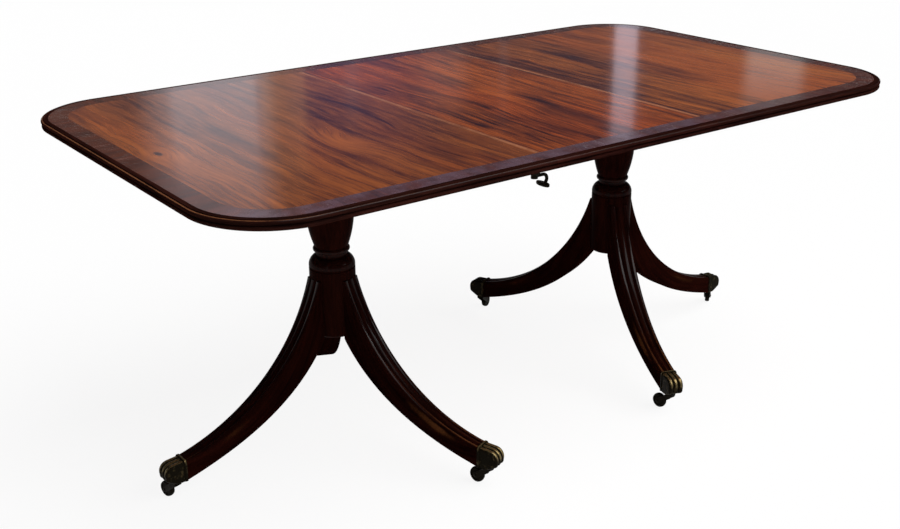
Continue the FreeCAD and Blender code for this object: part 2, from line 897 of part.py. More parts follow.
def catch_cam():
    """Spindle with a hooked cam: the hook lies along the seam when released and swings across it to lock."""
    low = catch_floor()
    half = cam_width / 2
    barb = cam_reach - cam_barb_width
    tail = -half - cam_barb_length
    corners = [
        point(0, -half, low),
        point(barb, -half, low),
        point(barb, tail, low),
        point(cam_reach - cam_clearance, tail, low),
        point(cam_reach, -half, low),
        point(cam_reach, half, low),
        point(0, half, low),
    ]
    count = len(corners)
    hook = prism([line(corners[i], corners[(i + 1) % count]) for i in range(count)], cam_thickness)
    hook = about_z(hook, 90)
    hub = rod(lever_boss_radius, underside + lever_gap, low + cam_thickness)
    spindle = rod(spindle_radius, lever_top() - lever_boss_height, low + cam_thickness)
    return at(joined([spindle, hub, hook]), catch_x(), catch_y)


def catch_lever():
    """Cranked thumb lever under the case: a boss, an arm, a round crank and an oval thumb-piece."""
    top = lever_top()
    low = top - lever_boss_height
    arm_z = low + lever_boss_height / 2
    crank_z = arm_z - lever_crank_radius
    arm = Part.makeCylinder(lever_bar_radius, lever_arm_reach, point(0, 0, arm_z), point(1, 0, 0))
    bend = point(lever_arm_reach, 0, arm_z)
    bar_end = Part.Face(Part.Wire([Part.Circle(bend, point(1, 0, 0), lever_bar_radius).toShape()]))
    crank = bar_end.revolve(point(lever_arm_reach, 0, crank_z), point(0, 1, 0), 180)
    thumb_top = crank_z - lever_crank_radius + lever_bar_radius
    outline = Part.Ellipse(point(0, 0, 0), thumb_length / 2, thumb_width / 2).toShape()
    thumb = Part.Face(Part.Wire([outline])).extrude(point(0, 0, thumb_thickness))
    thumb = thumb.makeFillet(thumb_round, [e for e in thumb.Edges if e.Length > thumb_length])
    thumb = about_z(thumb, 90).translated(point(lever_arm_reach, 0, thumb_top - thumb_thickness))
    lever = rod(lever_boss_radius, low, top).multiFuse([arm, crank, thumb])
    lever = lever.cut(rod(spindle_radius, low, top))
    return at(lever, catch_x(), catch_y)


def strike_box(depth_range, margin, height_range):
    """Box on the leaf's left edge beside the path of the hook."""
    face = (seam_gap - leaf_length) / 2
    low = catch_y - cam_width / 2 - margin
    high = catch_y + cam_sweep - lever_boss_radius + margin
    return box((face + depth_range[0], face + depth_range[1]), (low, high), height_range)


def strike_plate():
    """Brass plate let into the leaf's edge, with a slot that the hook passes and grips behind."""
    plate = strike_box((0, strike_thickness), strike_margin, (underside, underside + strike_height))
    low = catch_floor() - cam_clearance / 2
    slot = strike_box((0, strike_thickness), cam_clearance / 2, (low, low + cam_thickness + cam_clearance))
    return plate.cut(slot)


def strike_pocket():
    """Seat for the strike plate in the leaf, with room for the hook behind it."""
    seat = strike_box((0, strike_thickness), strike_margin, (underside, underside + strike_height))
    depth = cam_reach - catch_from_seam + 2 * cam_clearance
    low = catch_floor() - cam_clearance / 2
    room = strike_box((strike_thickness, depth), strike_margin, (low, low + cam_thickness + cam_clearance))
    return seat.fuse(room)


# Assembly

def place_end(shape, side_angle):
    """Moves a piece of an end from its own seam to the left seam, or turns it round to the right one."""
    return about_z(at(shape, -leaf_length / 2, 0), side_angle)


def end_pieces(side, side_angle):
    angles = leg_angles(side, side_angle)
    pieces = {
        "top_board": end_board(side == "left"),
        "crossband": end_crossband(),
        "edge_moulding": end_moulding(),
        "bearers": end_bearers(),
        "block": end_block(),
        "column": column(angles),
        "spider_plate": spider(angles),
        "screws": end_screws(angles),
        "catch_case": catch_case(),
        "catch_cam": catch_cam(),
        "catch_lever": catch_lever(),
    }
    for place, angle in angles.items():
        turn = math.radians(angle)
        trail = trail_angles[side + "_" + place] - side_angle
        reach = leg_reach(place)
        foot_x = (reach + swivel_from_cap) * math.cos(turn) - pedestal_from_seam
        foot_y = (reach + swivel_from_cap) * math.sin(turn)
        pieces["leg_" + place] = at(about_z(leg(reach), angle), -pedestal_from_seam, 0)
        pieces["toe_cap_" + place] = at(about_z(toe_cap(reach), angle), -pedestal_from_seam, 0)
        pieces["caster_fork_" + place] = at(about_z(caster_fork(), trail), foot_x, foot_y)
        pieces["caster_axle_" + place] = at(about_z(axle_pin(), trail), foot_x, foot_y)
        pieces["caster_wheel_" + place] = at(about_z(caster_wheel(), trail), foot_x, foot_y)
    return {side + "_" + name: place_end(shape, side_angle) for name, shape in pieces.items()}


def leaf_pieces():
    near_band, far_band = leaf_side_bands()
    strikes = [about_z(strike_plate(), angle) for angle in (0, 180)]
    return {
        "leaf_board": leaf_board(),
        "leaf_crossband_near": near_band,
        "leaf_crossband_far": far_band,
        "leaf_edge_moulding_near": leaf_moulding(),
        "leaf_edge_moulding_far": about_z(leaf_moulding(), 180),
        "leaf_dowels": dowels(-leaf_length / 2),
        "leaf_strike_plates": Part.makeCompound(strikes),
    }


def main():
    os.makedirs("parts", exist_ok=True)
    pieces = {}
    pieces.update(end_pieces("left", 0.0))
    pieces.update(end_pieces("right", 180.0))
    pieces.update(leaf_pieces())
    pieces["right_dowels"] = dowels(leaf_length / 2)
    for name, shape in pieces.items():
        shape.exportStep("parts/" + name + ".step")


main()
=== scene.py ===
import json
import math

import bmesh
import bpy
import numpy as np
from bpy.props import FloatProperty, FloatVectorProperty, PointerProperty
from mathutils import Matrix, Vector


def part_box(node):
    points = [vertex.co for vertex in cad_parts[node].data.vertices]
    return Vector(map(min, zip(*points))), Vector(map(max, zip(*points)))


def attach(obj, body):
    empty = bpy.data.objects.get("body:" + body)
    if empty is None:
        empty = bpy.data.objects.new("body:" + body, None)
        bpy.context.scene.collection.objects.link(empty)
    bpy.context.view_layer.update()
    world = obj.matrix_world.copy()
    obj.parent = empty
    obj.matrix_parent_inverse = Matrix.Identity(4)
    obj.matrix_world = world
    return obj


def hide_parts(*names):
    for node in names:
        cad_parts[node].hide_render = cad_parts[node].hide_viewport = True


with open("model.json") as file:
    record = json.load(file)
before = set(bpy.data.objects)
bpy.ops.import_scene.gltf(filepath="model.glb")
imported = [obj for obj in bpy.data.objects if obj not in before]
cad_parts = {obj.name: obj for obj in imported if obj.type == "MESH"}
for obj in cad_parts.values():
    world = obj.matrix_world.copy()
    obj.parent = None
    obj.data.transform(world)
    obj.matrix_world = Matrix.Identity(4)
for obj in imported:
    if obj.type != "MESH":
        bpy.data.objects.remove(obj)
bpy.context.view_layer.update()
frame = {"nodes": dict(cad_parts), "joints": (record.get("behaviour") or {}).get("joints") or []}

bl_info = {
    "name": "Double pedestal dining table",
    "version": (1, 0, 0),
    "blender": (4, 5, 0),
    "location": "3D View > Sidebar > Table",
    "description": "Dresses a pedestal dining table in polished mahogany and aged brass",
    "category": "Object",
}

TOP_LOW, TOP_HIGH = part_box("left_edge_moulding")
LEAF_LOW, LEAF_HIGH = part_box("leaf_board")
COLUMN_LOW, COLUMN_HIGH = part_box("left_column")
COLUMN_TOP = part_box("left_block")[0].z
JOINTS = {joint["name"]: joint for joint in frame["joints"]}
SIDES = ("left", "right")
PLACES = ("end", "near", "far")
LEGS = [(side, place) for side in SIDES for place in PLACES]


# Settings

def length(name, description, default):
    return FloatProperty(name=name, description=description, default=default, unit="LENGTH", precision=4)


def colour(name, description, default):
    return FloatVectorProperty(
        name=name, description=description, default=default, size=3, min=0.0, max=1.0, subtype="COLOR"
    )


class TopSettings(bpy.types.PropertyGroup):
    """Sizes of the table top."""

    height: length("Height", "Height of the top above the floor", TOP_HIGH.z)
    thickness: length("Thickness", "Thickness of the top", TOP_HIGH.z - TOP_LOW.z)
    width: length("Width", "Width of the top", TOP_HIGH.y - TOP_LOW.y)
    end_length: length("End length", "Length of each end section", TOP_HIGH.x - TOP_LOW.x + 0.0002)
    leaf_length: length("Leaf length", "Length of the leaf", LEAF_HIGH.x - LEAF_LOW.x + 0.0004)
    seam_gap: length("Seam gap", "Gap between the sections", 0.0004)
    corner_radius: length("Corner radius", "Radius of the rounded corners", 0.170)
    moulding_width: length("Moulding width", "Width of the moulded edge strip", 0.016)
    reed_radius: length("Edge reed", "Radius of the two reeds on the edge", 0.0042)
    upper_reed_drop: length("Upper reed drop", "Depth of the upper reed's middle below the top", 0.0054)
    lower_reed_setback: length("Lower reed setback", "How far the lower reed lies behind the upper", 0.0008)
    groove_depth: length("Groove depth", "Depth of the groove between the reeds", 0.0056)
    band_width: length("Band width", "Distance from the edge to the inner line of the crossband", 0.057)
    band_thickness: length("Band thickness", "Thickness of the crossband", 0.003)


class ColumnSettings(bpy.types.PropertyGroup):
    """Turned outline of the columns, with heights from the floor."""

    axis_x: length("Column distance", "Distance of each column from the middle of the table",
                   -(COLUMN_LOW.x + COLUMN_HIGH.x) / 2)
    hub_radius: length("Hub radius", "Radius of the hub that carries the legs", 0.0515)
    hub_bottom: length("Hub bottom", "Height of the hub's underside", COLUMN_LOW.z)
    hub_chamfer: length("Hub chamfer", "Chamfer round the hub's underside", 0.004)
    groove_height: length("Groove height", "Height of the groove under the collar", 0.436)
    groove_depth: length("Groove depth", "Depth of the groove under the collar", 0.0022)
    collar_shoulder: length("Collar shoulder", "Height at which the collar starts to round in", 0.440)
    collar_top: length("Collar top", "Height of the collar's upper edge", 0.461)
    collar_radius: length("Collar radius", "Radius of the collar's upper edge", 0.040)
    neck_radius: length("Neck radius", "Radius of the neck above the collar", 0.034)
    neck_bottom: length("Neck bottom", "Height of the neck's lower end", 0.463)
    bead_bottom: length("Bead bottom", "Height of the bead's lower edge", 0.472)
    bead_height: length("Bead height", "Height of the bead", 0.011)
    bead_rise: length("Bead rise", "How far the bead stands out from the neck", 0.007)
    urn_foot: length("Urn foot", "Radius of the urn's foot", 0.037)
    urn_height: length("Urn height", "Height at which the urn is widest", 0.570)
    urn_radius: length("Urn radius", "Largest radius of the urn", 0.053)
    urn_shoulder: length("Urn shoulder", "Radius of the urn's upper end", 0.043)
    cap_height: length("Cap height", "Height of the cap above the urn", 0.029)
    ring_rise: length("Ring rise", "How far the cap's ring stands out", 0.007)
    ring_height: length("Ring height", "Height of the cap's ring", 0.014)
    plate_radius: length("Plate radius", "Radius of the plate on the cap", 0.052)
    plate_height: length("Plate height", "Height of the plate on the cap", 0.007)


class PedestalSettings(bpy.types.PropertyGroup):
    """Sizes of the legs, toe caps and casters."""

    hub_flat: length("Hub flat", "Distance of the legs' shoulders from the column's axis", 0.044)
    leg_top: length("Leg top", "Height of the upper end of a leg", 0.414)
    toe_top: length("Toe top", "Height of the upper side of a leg's toe", 0.099)
    toe_bottom: length("Toe bottom", "Height of the under side of a leg's toe", 0.050)
    upper_start: length("Upper curve start", "Distance of the upper curve from the column's axis", 0.053)
    upper_hub_hollow: length("Upper hub hollow", "How hollow the upper curve is near the hub", 0.052)
    upper_toe_hollow: length("Upper toe hollow", "How hollow the upper curve is near the toe", 0.034)
    lower_lead: length("Lower curve lead", "How far the lower curve starts past the column's axis", 0.001)
    lower_hub_hollow: length("Lower hub hollow", "How hollow the lower curve is near the hub", 0.015)
    lower_toe_hollow: length("Lower toe hollow", "How hollow the lower curve is near the toe", 0.047)
    hub_width: length("Leg width at hub", "Width of a leg at the hub", 0.048)
    toe_width: length("Leg width at toe", "Width of a leg at the toe", 0.037)
    reed_depth: length("Leg reed depth", "Depth of the quirks between a leg's reeds", 0.0034)
    side_reed_drop: length("Side reed drop", "How far the outer reeds lie below the middle one", 0.0008)
    leg_ease: length("Leg ease", "Radius of a leg's lower corners", 0.003)
    collar_length: length("Collar length", "Length of a toe cap's collar", 0.007)
    collar_proud: length("Collar proud", "How far the collar stands above the leg", 0.0018)
    collar_round: length("Collar round", "Radius of the collar's upper corners", 0.007)
    lobe_reach: length("Lobe reach", "Length of a toe cap", 0.052)
    lobe_width: length("Lobe width", "Width of each lobe of a toe cap", 0.0128)
    lobe_pitch: length("Lobe pitch", "Distance between the lobes", 0.0122)
    lobe_round: length("Lobe round", "How far a lobe draws in towards its sides", 0.0054)
    nose_radius: length("Nose radius", "Radius of a toe cap's round nose", 0.021)
    front_lean: length("Front lean", "How far a toe cap's front leans", 0.004)
    toe_rise: length("Toe rise", "How far a toe cap's underside rises to its front", 0.011)
    swivel_setback: length("Swivel setback", "Distance of a caster's stem from the end of the leg", 0.020)
    swivel_boss: length("Swivel boss", "Radius of the round above a caster's fork", 0.0085)
    wheel_radius: length("Wheel radius", "Radius of a caster's wheel", 0.018)
    wheel_width: length("Wheel width", "Width of a caster's wheel over its hub", 0.013)
    axle_radius: length("Axle radius", "Radius of a caster's axle", 0.0025)


class FinishSettings(bpy.types.PropertyGroup):
    """Colours of the woods and metals."""

    end_light: colour("End light", "Pale streaks of the end tops", (0.41, 0.112, 0.025))
    end_dark: colour("End dark", "Dark streaks of the end tops", (0.042, 0.010, 0.013))
    leaf_light: colour("Leaf light", "Pale streaks of the leaf", (0.45, 0.098, 0.018))
    leaf_dark: colour("Leaf dark", "Dark streaks of the leaf", (0.030, 0.006, 0.010))
    band_light: colour("Band light", "Pale streaks of the crossband", (0.145, 0.033, 0.012))
    band_dark: colour("Band dark", "Dark streaks of the crossband", (0.022, 0.006, 0.005))
    # Painted reflection: a pale bluish sheen colour that stands in for the light the near crossband mirrors
    band_bloom: colour("Band bloom", "Pale bloom of old polish on the near crossband", (0.135, 0.085, 0.115))
    edge_light: colour("Edge light", "Pale streaks of the moulded edge", (0.036, 0.010, 0.007))
    edge_dark: colour("Edge dark", "Dark streaks of the moulded edge", (0.008, 0.003, 0.0025))
    worn: colour("Worn arris", "Wood that shows where an edge is worn", (0.22, 0.085, 0.034))
    seam_worn: colour("Worn seam", "Bare wood along the seams of the top", (0.46, 0.18, 0.085))
    pedestal_light: colour("Pedestal light", "Pale streaks of the pedestals", (0.017, 0.0036, 0.0021))
    pedestal_dark: colour("Pedestal dark", "Dark streaks of the pedestals", (0.0042, 0.0010, 0.0008))
    pedestal_worn: colour("Pedestal worn", "Wood that shows where a leg is rubbed", (0.075, 0.026, 0.009))
    under_light: colour("Underframe light", "Pale streaks of the bearers and blocks", (0.070, 0.024, 0.012))
    under_dark: colour("Underframe dark", "Dark streaks of the bearers and blocks", (0.026, 0.009, 0.005))
    dowel_light: colour("Dowel light", "Pale streaks of the dowels", (0.50, 0.34, 0.18))
    dowel_dark: colour("Dowel dark", "Dark streaks of the dowels", (0.32, 0.20, 0.10))
    brass: colour("Brass", "Clean brass on the crests", (0.24, 0.18, 0.08))
    tarnish: colour("Tarnish", "Tarnish in the hollows of the brass", (0.0062, 0.0047, 0.0022))
    black_brass: colour("Black brass", "Brass gone black on the casters and catches", (0.012, 0.0085, 0.0055))
    iron: colour("Iron", "Iron of the plates and screws", (0.09, 0.082, 0.075))


class StageSettings(bpy.types.PropertyGroup):
    """Camera and floor."""

    camera_place: FloatVectorProperty(
        name="Camera place", description="Place of the camera", size=3, subtype="XYZ", unit="LENGTH",
        default=(-1.67941, -2.12042, 1.40385),
    )
    camera_yaw: FloatProperty(
        name="Yaw", description="Turn of the camera to the right of +Y", subtype="ANGLE",
        default=math.radians(36.659),
    )
    camera_pitch: FloatProperty(
        name="Pitch", description="Tilt of the camera below the horizon", subtype="ANGLE",
        default=math.radians(21.581),
    )
    camera_roll: FloatProperty(
        name="Roll", description="Roll of the camera", subtype="ANGLE", default=math.radians(0.291)
    )
    lens: FloatProperty(
        name="Lens", description="Focal length in millimetres on a 36 mm sensor", default=47.517
    )
    floor: colour("Floor", "Colour of the floor", (0.95, 0.95, 0.95))
    sky: colour("Sky", "Colour of the light from all round", (0.96, 0.86, 1.0))


def top():
    return bpy.context.scene.table_top


def column():
    return bpy.context.scene.table_column


def pedestal():
    return bpy.context.scene.table_pedestal


def finish():
    return bpy.context.scene.table_finish


# Meshes

def tube(points, grain, wear=0.0, polish=0.0):
    """A closed skin: rows of rings, each ring closed on itself, with a flat cap on the first and last ring.

    points and grain are rows by columns by 3. Grain is a place in straightened timber, with Y along it. Wear
    is one number per point, 1 where hands and feet rub most, and polish is 1 where the lacquer shines.
    """
    points = np.asarray(points, float)
    shape = points.shape[:2]
    marks = {"wear": np.broadcast_to(wear, shape), "polish": np.broadcast_to(polish, shape)}
    return {"points": points, "grain": np.asarray(grain, float), **marks}


def tube_faces(rows, columns, start):
    """Quads join each ring to the next one; two many-sided faces close the ends."""
    row, column = np.meshgrid(np.arange(rows - 1), np.arange(columns), indexing="ij")
    after = (column + 1) % columns
    here = row * columns + start
    there = here + columns
    quads = np.stack([here + column, here + after, there + after, there + column], axis=-1)
    first = (start + np.arange(columns))[::-1]
    last = start + (rows - 1) * columns + np.arange(columns)
    return quads.reshape(-1, 4).tolist() + [first.tolist(), last.tolist()]


def signed_volume(points):
    """Volume inside a tube: the sum over its quads of the boxes that they span with the tube's middle."""
    p = points - points.mean(axis=(0, 1))
    a, b = p[:-1], p[1:]
    a_next, b_next = np.roll(a, -1, axis=1), np.roll(b, -1, axis=1)
    side = np.sum(a * np.cross(a_next, b_next)) + np.sum(a * np.cross(b_next, b))
    ends = 0.0
    for ring, sign in ((p[0], -1.0), (p[-1], 1.0)):
        middle = ring.mean(axis=0)
        ends += sign * np.sum(middle * np.cross(ring, np.roll(ring, -1, axis=0)))
    return side + ends


def make_piece(name, tubes, material, body, nodes, sharp=40.0):
    """Puts tubes into one mesh object that rides on a body and stands for CAD nodes."""
    points, grain, faces = [], [], []
    marks = {"wear": [], "polish": []}
    count = 0
    for skin in tubes:
        step = 1 if signed_volume(skin["points"]) > 0 else -1
        rings = skin["points"][:, ::step]
        faces += tube_faces(rings.shape[0], rings.shape[1], count)
        points.append(rings.reshape(-1, 3))
        grain.append(skin["grain"][:, ::step].reshape(-1, 3))
        for mark, values in marks.items():
            values.append(skin[mark][:, ::step].ravel())
        count += len(points[-1])
    mesh = bpy.data.meshes.new(name)
    mesh.from_pydata(np.concatenate(points).tolist(), [], faces)
    fibre = mesh.attributes.new("grain", "FLOAT_VECTOR", "POINT")
    fibre.data.foreach_set("vector", np.concatenate(grain).astype(np.float32).ravel())
    for mark, values in marks.items():
        attribute = mesh.attributes.new(mark, "FLOAT", "POINT")
        attribute.data.foreach_set("value", np.concatenate(values).astype(np.float32))
    merge_doubles(mesh)
    mesh.polygons.foreach_set("use_smooth", np.ones(len(mesh.polygons), bool))
    mesh.set_sharp_from_angle(angle=math.radians(sharp))
    mesh.materials.append(material)
    mesh.update()
    piece = add_object(name, mesh)
    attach(piece, body)
    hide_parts(*nodes)


def add_object(name, data):
    """New object in the scene, at the origin."""
    item = bpy.data.objects.new(name, data)
    bpy.context.scene.collection.objects.link(item)
    return item


def merge_doubles(mesh):
    """Joins points that lie on each other and drops the faces that this leaves without area."""
    nearest = 1e-6
    work = bmesh.new()
    work.from_mesh(mesh)
    bmesh.ops.remove_doubles(work, verts=work.verts, dist=nearest)
    bmesh.ops.dissolve_degenerate(work, edges=work.edges, dist=nearest)
    work.to_mesh(mesh)
    work.free()


def dress(node, material):
    """Gives a CAD node its finished material."""
    data = frame["nodes"][node].data
    if not data.materials:
        data.materials.append(material)
    for index in range(len(data.materials)):
        data.materials[index] = material


def arc_points(centre, radius, start, end, count):
    """Points on a circle from one angle to another, in degrees."""
    turn = np.radians(np.linspace(start, end, count))
    return np.stack([centre[0] + radius * np.cos(turn), centre[1] + radius * np.sin(turn)], axis=-1)


def arc_through(first, middle, last, count):
    """Points on the circle through three points, from the first to the last."""
    a, b, c = (complex(*p) for p in (first, middle, last))
    w = (c - a) / (b - a)
    centre = (b - a) * (w - abs(w) ** 2) / (2j * w.imag) + a
    radius = abs(a - centre)
    start = np.angle(a - centre)
    turn = np.angle((c - centre) / (a - centre))
    through = np.angle((b - centre) / (a - centre))
    if not (0 <= through / turn <= 1):
        turn -= math.copysign(2 * math.pi, turn)
    angle = start + turn * np.linspace(0, 1, count)
    return np.stack([centre.real + radius * np.cos(angle), centre.imag + radius * np.sin(angle)], axis=-1)


def turn_about_z(points, degrees):
    """Turns points about Z, anticlockwise from above."""
    a = math.radians(degrees)
    turn = np.array([[math.cos(a), math.sin(a), 0], [-math.sin(a), math.cos(a), 0], [0, 0, 1]])
    return points @ turn


def place_end(points, side):
    """Moves an end's piece from its own seam to the left seam, or turns it half round to the right one."""
    moved = points - np.array([top().leaf_length / 2, 0, 0])
    return moved if side == "left" else turn_about_z(moved, 180)


# Table top

def end_path(inset):
    """Line along an end top at a distance inside its edge: three straights joined by two quarter rounds.

    Gives the points, the outward directions and the distance run from the near seam.
    """
    t = top()
    side = t.width / 2 - inset
    outer = inset - t.end_length
    radius = t.corner_radius - inset
    seam = -t.seam_gap / 2
    bend = 40
    near = arc_points((outer + radius, radius - side), radius, 270, 180, bend)
    far = arc_points((outer + radius, side - radius), radius, 180, 90, bend)
    points = np.concatenate([[[seam, -side]], near, far, [[seam, side]]])
    bends = np.linspace(270, 180, bend), np.linspace(180, 90, bend)
    angles = np.radians(np.concatenate([[270], *bends, [90]]))
    out = np.stack([np.cos(angles), np.sin(angles)], axis=-1)
    run = np.concatenate([[0], np.cumsum(np.linalg.norm(np.diff(points, axis=0), axis=1))])
    return points, out, run


def leaf_path(inset, far):
    """Straight line along one side of the leaf, as end_path gives it."""
    t = top()
    half = (t.leaf_length - t.seam_gap) / 2
    side = t.width / 2 - inset
    sign = 1.0 if far else -1.0
    points = np.array([[-half, sign * side], [half, sign * side]])
    out = np.array([[0.0, sign], [0.0, sign]])
    return points, out, np.array([0.0, 2 * half])


def carried(path, profile):
    """Profile carried along a path: each point goes out by its first number and up to its second."""
    points, out = path[:2]
    flat = points[:, None, :] + out[:, None, :] * profile[None, :, :1]
    height = np.broadcast_to(profile[None, :, 1:], flat.shape[:2] + (1,))
    return np.concatenate([flat, height], axis=-1)


def edge_profile():
    """Two reeds with a quirk above and a groove between: arcs of one radius joined by short straights.

    Gives the outline with its wear and polish. These are bell curves over the angle round a reed: wear near
    the crest of both reeds, and polish on the upper one alone.
    """
    t = top()
    m, r = t.moulding_width, t.reed_radius
    high, low = t.height, t.height - t.thickness
    upper_turn, lower_turn = (120, -70, 26), (80, -90, 24)
    upper = arc_points((m - r, high - t.upper_reed_drop), r, *upper_turn)
    lower = arc_points((m - r - t.lower_reed_setback, low + r), r, *lower_turn)
    slope = (t.upper_reed_drop - r) / 4
    groove = [[m - t.groove_depth, (upper[-1, 1] + lower[0, 1]) / 2]]
    profile = np.concatenate([[[0, high], [upper[0, 0] - slope, high]], upper, groove, lower, [[0, low]]])
    upper_wear = bell(np.linspace(*upper_turn), 70, 18)
    lower_wear = 0.40 * bell(np.linspace(*lower_turn), 38, 20)
    arris_wear = 0.35
    wear = np.concatenate([[0, arris_wear], upper_wear, [0], lower_wear, [0]])
    shine = bell(np.linspace(*upper_turn), 66, 14)
    polish = np.concatenate([[0, 0], shine, [0], np.zeros(len(lower)), [0]])
    return profile, wear, polish


def bell(values, middle, half):
    """Bell curve: 1 at the middle and about a third at a half width from it."""
    return np.exp(-((values - middle) / half) ** 2)


def strip_grain(path, profile, across):
    """Timber place of each point of a strip: along the strip, or across it for a crossband."""
    run = np.broadcast_to(path[2][:, None], (len(path[2]), len(profile)))
    out = np.broadcast_to(profile[None, :, 0], run.shape)
    up = np.broadcast_to(profile[None, :, 1], run.shape)
    return np.stack([run, out, up] if across else [out, run, up], axis=-1)


def band_profile():
    """Flat rectangle from the crossband's inner line to the moulding."""
    t = top()
    wide = t.band_width - t.moulding_width
    low = t.height - t.band_thickness
    return np.array([[0, t.height], [wide, t.height], [wide, low], [0, low]])


def top_strips(name, profile, inset, across, material, shift, wear=0.0, polish=0.0):
    """Makes a strip on both ends and on both sides of the leaf, each from timber a shift further on.

    The outer ends are worn most.
    """
    side_wear = 0.45
    for index, (side, rub) in enumerate((("left", 1.0), ("right", 0.6))):
        path = end_path(inset)
        grain = strip_grain(path, profile, across) + shift * index
        points = place_end(carried(path, profile), side)
        outward = side_wear + (1 - side_wear) * np.clip(-path[1][:, :1], 0, 1)
        node = side + "_" + name
        skin = tube(points, grain, rub * outward * wear, polish)
        make_piece(node + "_strip", [skin], material, side + "_end", [node])
    for index, far in enumerate((False, True)):
        path = leaf_path(inset, far)
        grain = strip_grain(path, profile, across) + shift * (index + 2)
        node = "leaf_" + name + ("_far" if far else "_near")
        skin = tube(carried(path, profile), grain, side_wear * np.ones((2, 1)) * wear, polish)
        make_piece(node + "_strip", [skin], material, "leaf", [node])


# Pedestals

def swelled(widest, end, count):
    """Arc that is plumb at its widest point and runs to its end: points are radius and height."""
    rise = end[1] - widest[1]
    inset = widest[0] - end[0]
    radius = (inset ** 2 + rise ** 2) / (2 * inset)
    middle = (widest[0] - radius + math.sqrt(radius ** 2 - rise ** 2 / 4), widest[1] + rise / 2)
    return arc_through(widest, middle, end, count)


def column_profile():
    """Half outline of the turned column, as radius and height: straights, beads and round swells.

    Gives the outline and its wear, which is highest on the bead.
    """
    c = column()
    hub, neck, shoulder = c.hub_radius, c.neck_radius, c.urn_shoulder
    groove_low, groove_high = c.groove_height - c.groove_depth, c.groove_height + c.groove_depth
    bead_top = c.bead_bottom + c.bead_height
    cap_foot = COLUMN_TOP - c.cap_height
    ring_top = COLUMN_TOP - c.plate_height
    ring_bottom = ring_top - c.ring_height
    ring_middle = (shoulder + c.ring_rise, (ring_top + ring_bottom) / 2)
    bead_middle = (neck + c.bead_rise, c.bead_bottom + c.bead_height / 2)
    pole = 0.0005
    foot = [[pole, c.hub_bottom], [hub - c.hub_chamfer, c.hub_bottom], [hub, c.hub_bottom + c.hub_chamfer]]
    parts = [
        (0.0, foot),
        (0.0, arc_through((hub, groove_low), (hub - c.groove_depth, c.groove_height), (hub, groove_high), 9)),
        (0.2, swelled((hub, c.collar_shoulder), (c.collar_radius, c.collar_top), 14)),
        (0.0, [[neck, c.neck_bottom]]),
        (0.35, arc_through((neck, c.bead_bottom), bead_middle, (neck, bead_top), 16)),
        (0.0, swelled((c.urn_radius, c.urn_height), (c.urn_foot, bead_top), 22)[::-1]),
        (0.1, swelled((c.urn_radius, c.urn_height), (shoulder, cap_foot), 22)[1:]),
        (0.2, arc_through((shoulder, ring_bottom), ring_middle, (shoulder, ring_top), 14)),
        (0.0, [[c.plate_radius, ring_top], [c.plate_radius, COLUMN_TOP], [pole, COLUMN_TOP]]),
    ]
    line = np.concatenate([np.asarray(part, float) for _, part in parts])
    return line, np.concatenate([np.full(len(part), wear) for wear, part in parts])


def revolved(profile, sides):
    """Rings about Z from an outline of radius and height."""
    turn = np.linspace(0, 2 * math.pi, sides, endpoint=False)
    radius = profile[:, :1]
    height = np.broadcast_to(profile[:, 1:], (len(profile), sides))
    return np.stack([radius * np.cos(turn), radius * np.sin(turn), height], axis=-1)


def blend(values, share):
    """Cubic blend of four values."""
    a, b, c, d = values
    rest = 1 - share
    return rest ** 3 * a + 3 * rest ** 2 * share * b + 3 * rest * share ** 2 * c + share ** 3 * d


def reed(start, end, base, rise, count):
    """Round reed across a leg: a circle's arc over the chord from start to end, rising from the base line.

    start, end, base and rise are columns of one value per section; gives the places across and the radii.
    """
    across = start + (end - start) * np.linspace(0, 1, count)
    half = np.abs(end - start) / 2
    radius = (half ** 2 + rise ** 2) / (2 * rise)
    middle = (start + end) / 2
    lift = np.sqrt(np.maximum(radius ** 2 - (across - middle) ** 2, 0)) - (radius - rise)
    return across, base - lift


def curve_radii(first, end_height, hub_hollow, toe_hollow):
    """Four radii of a leg's long curve about its sweep centre, from the hub to the toe."""
    last = pedestal().leg_top - end_height
    return first, first - hub_hollow, last - toe_hollow, last


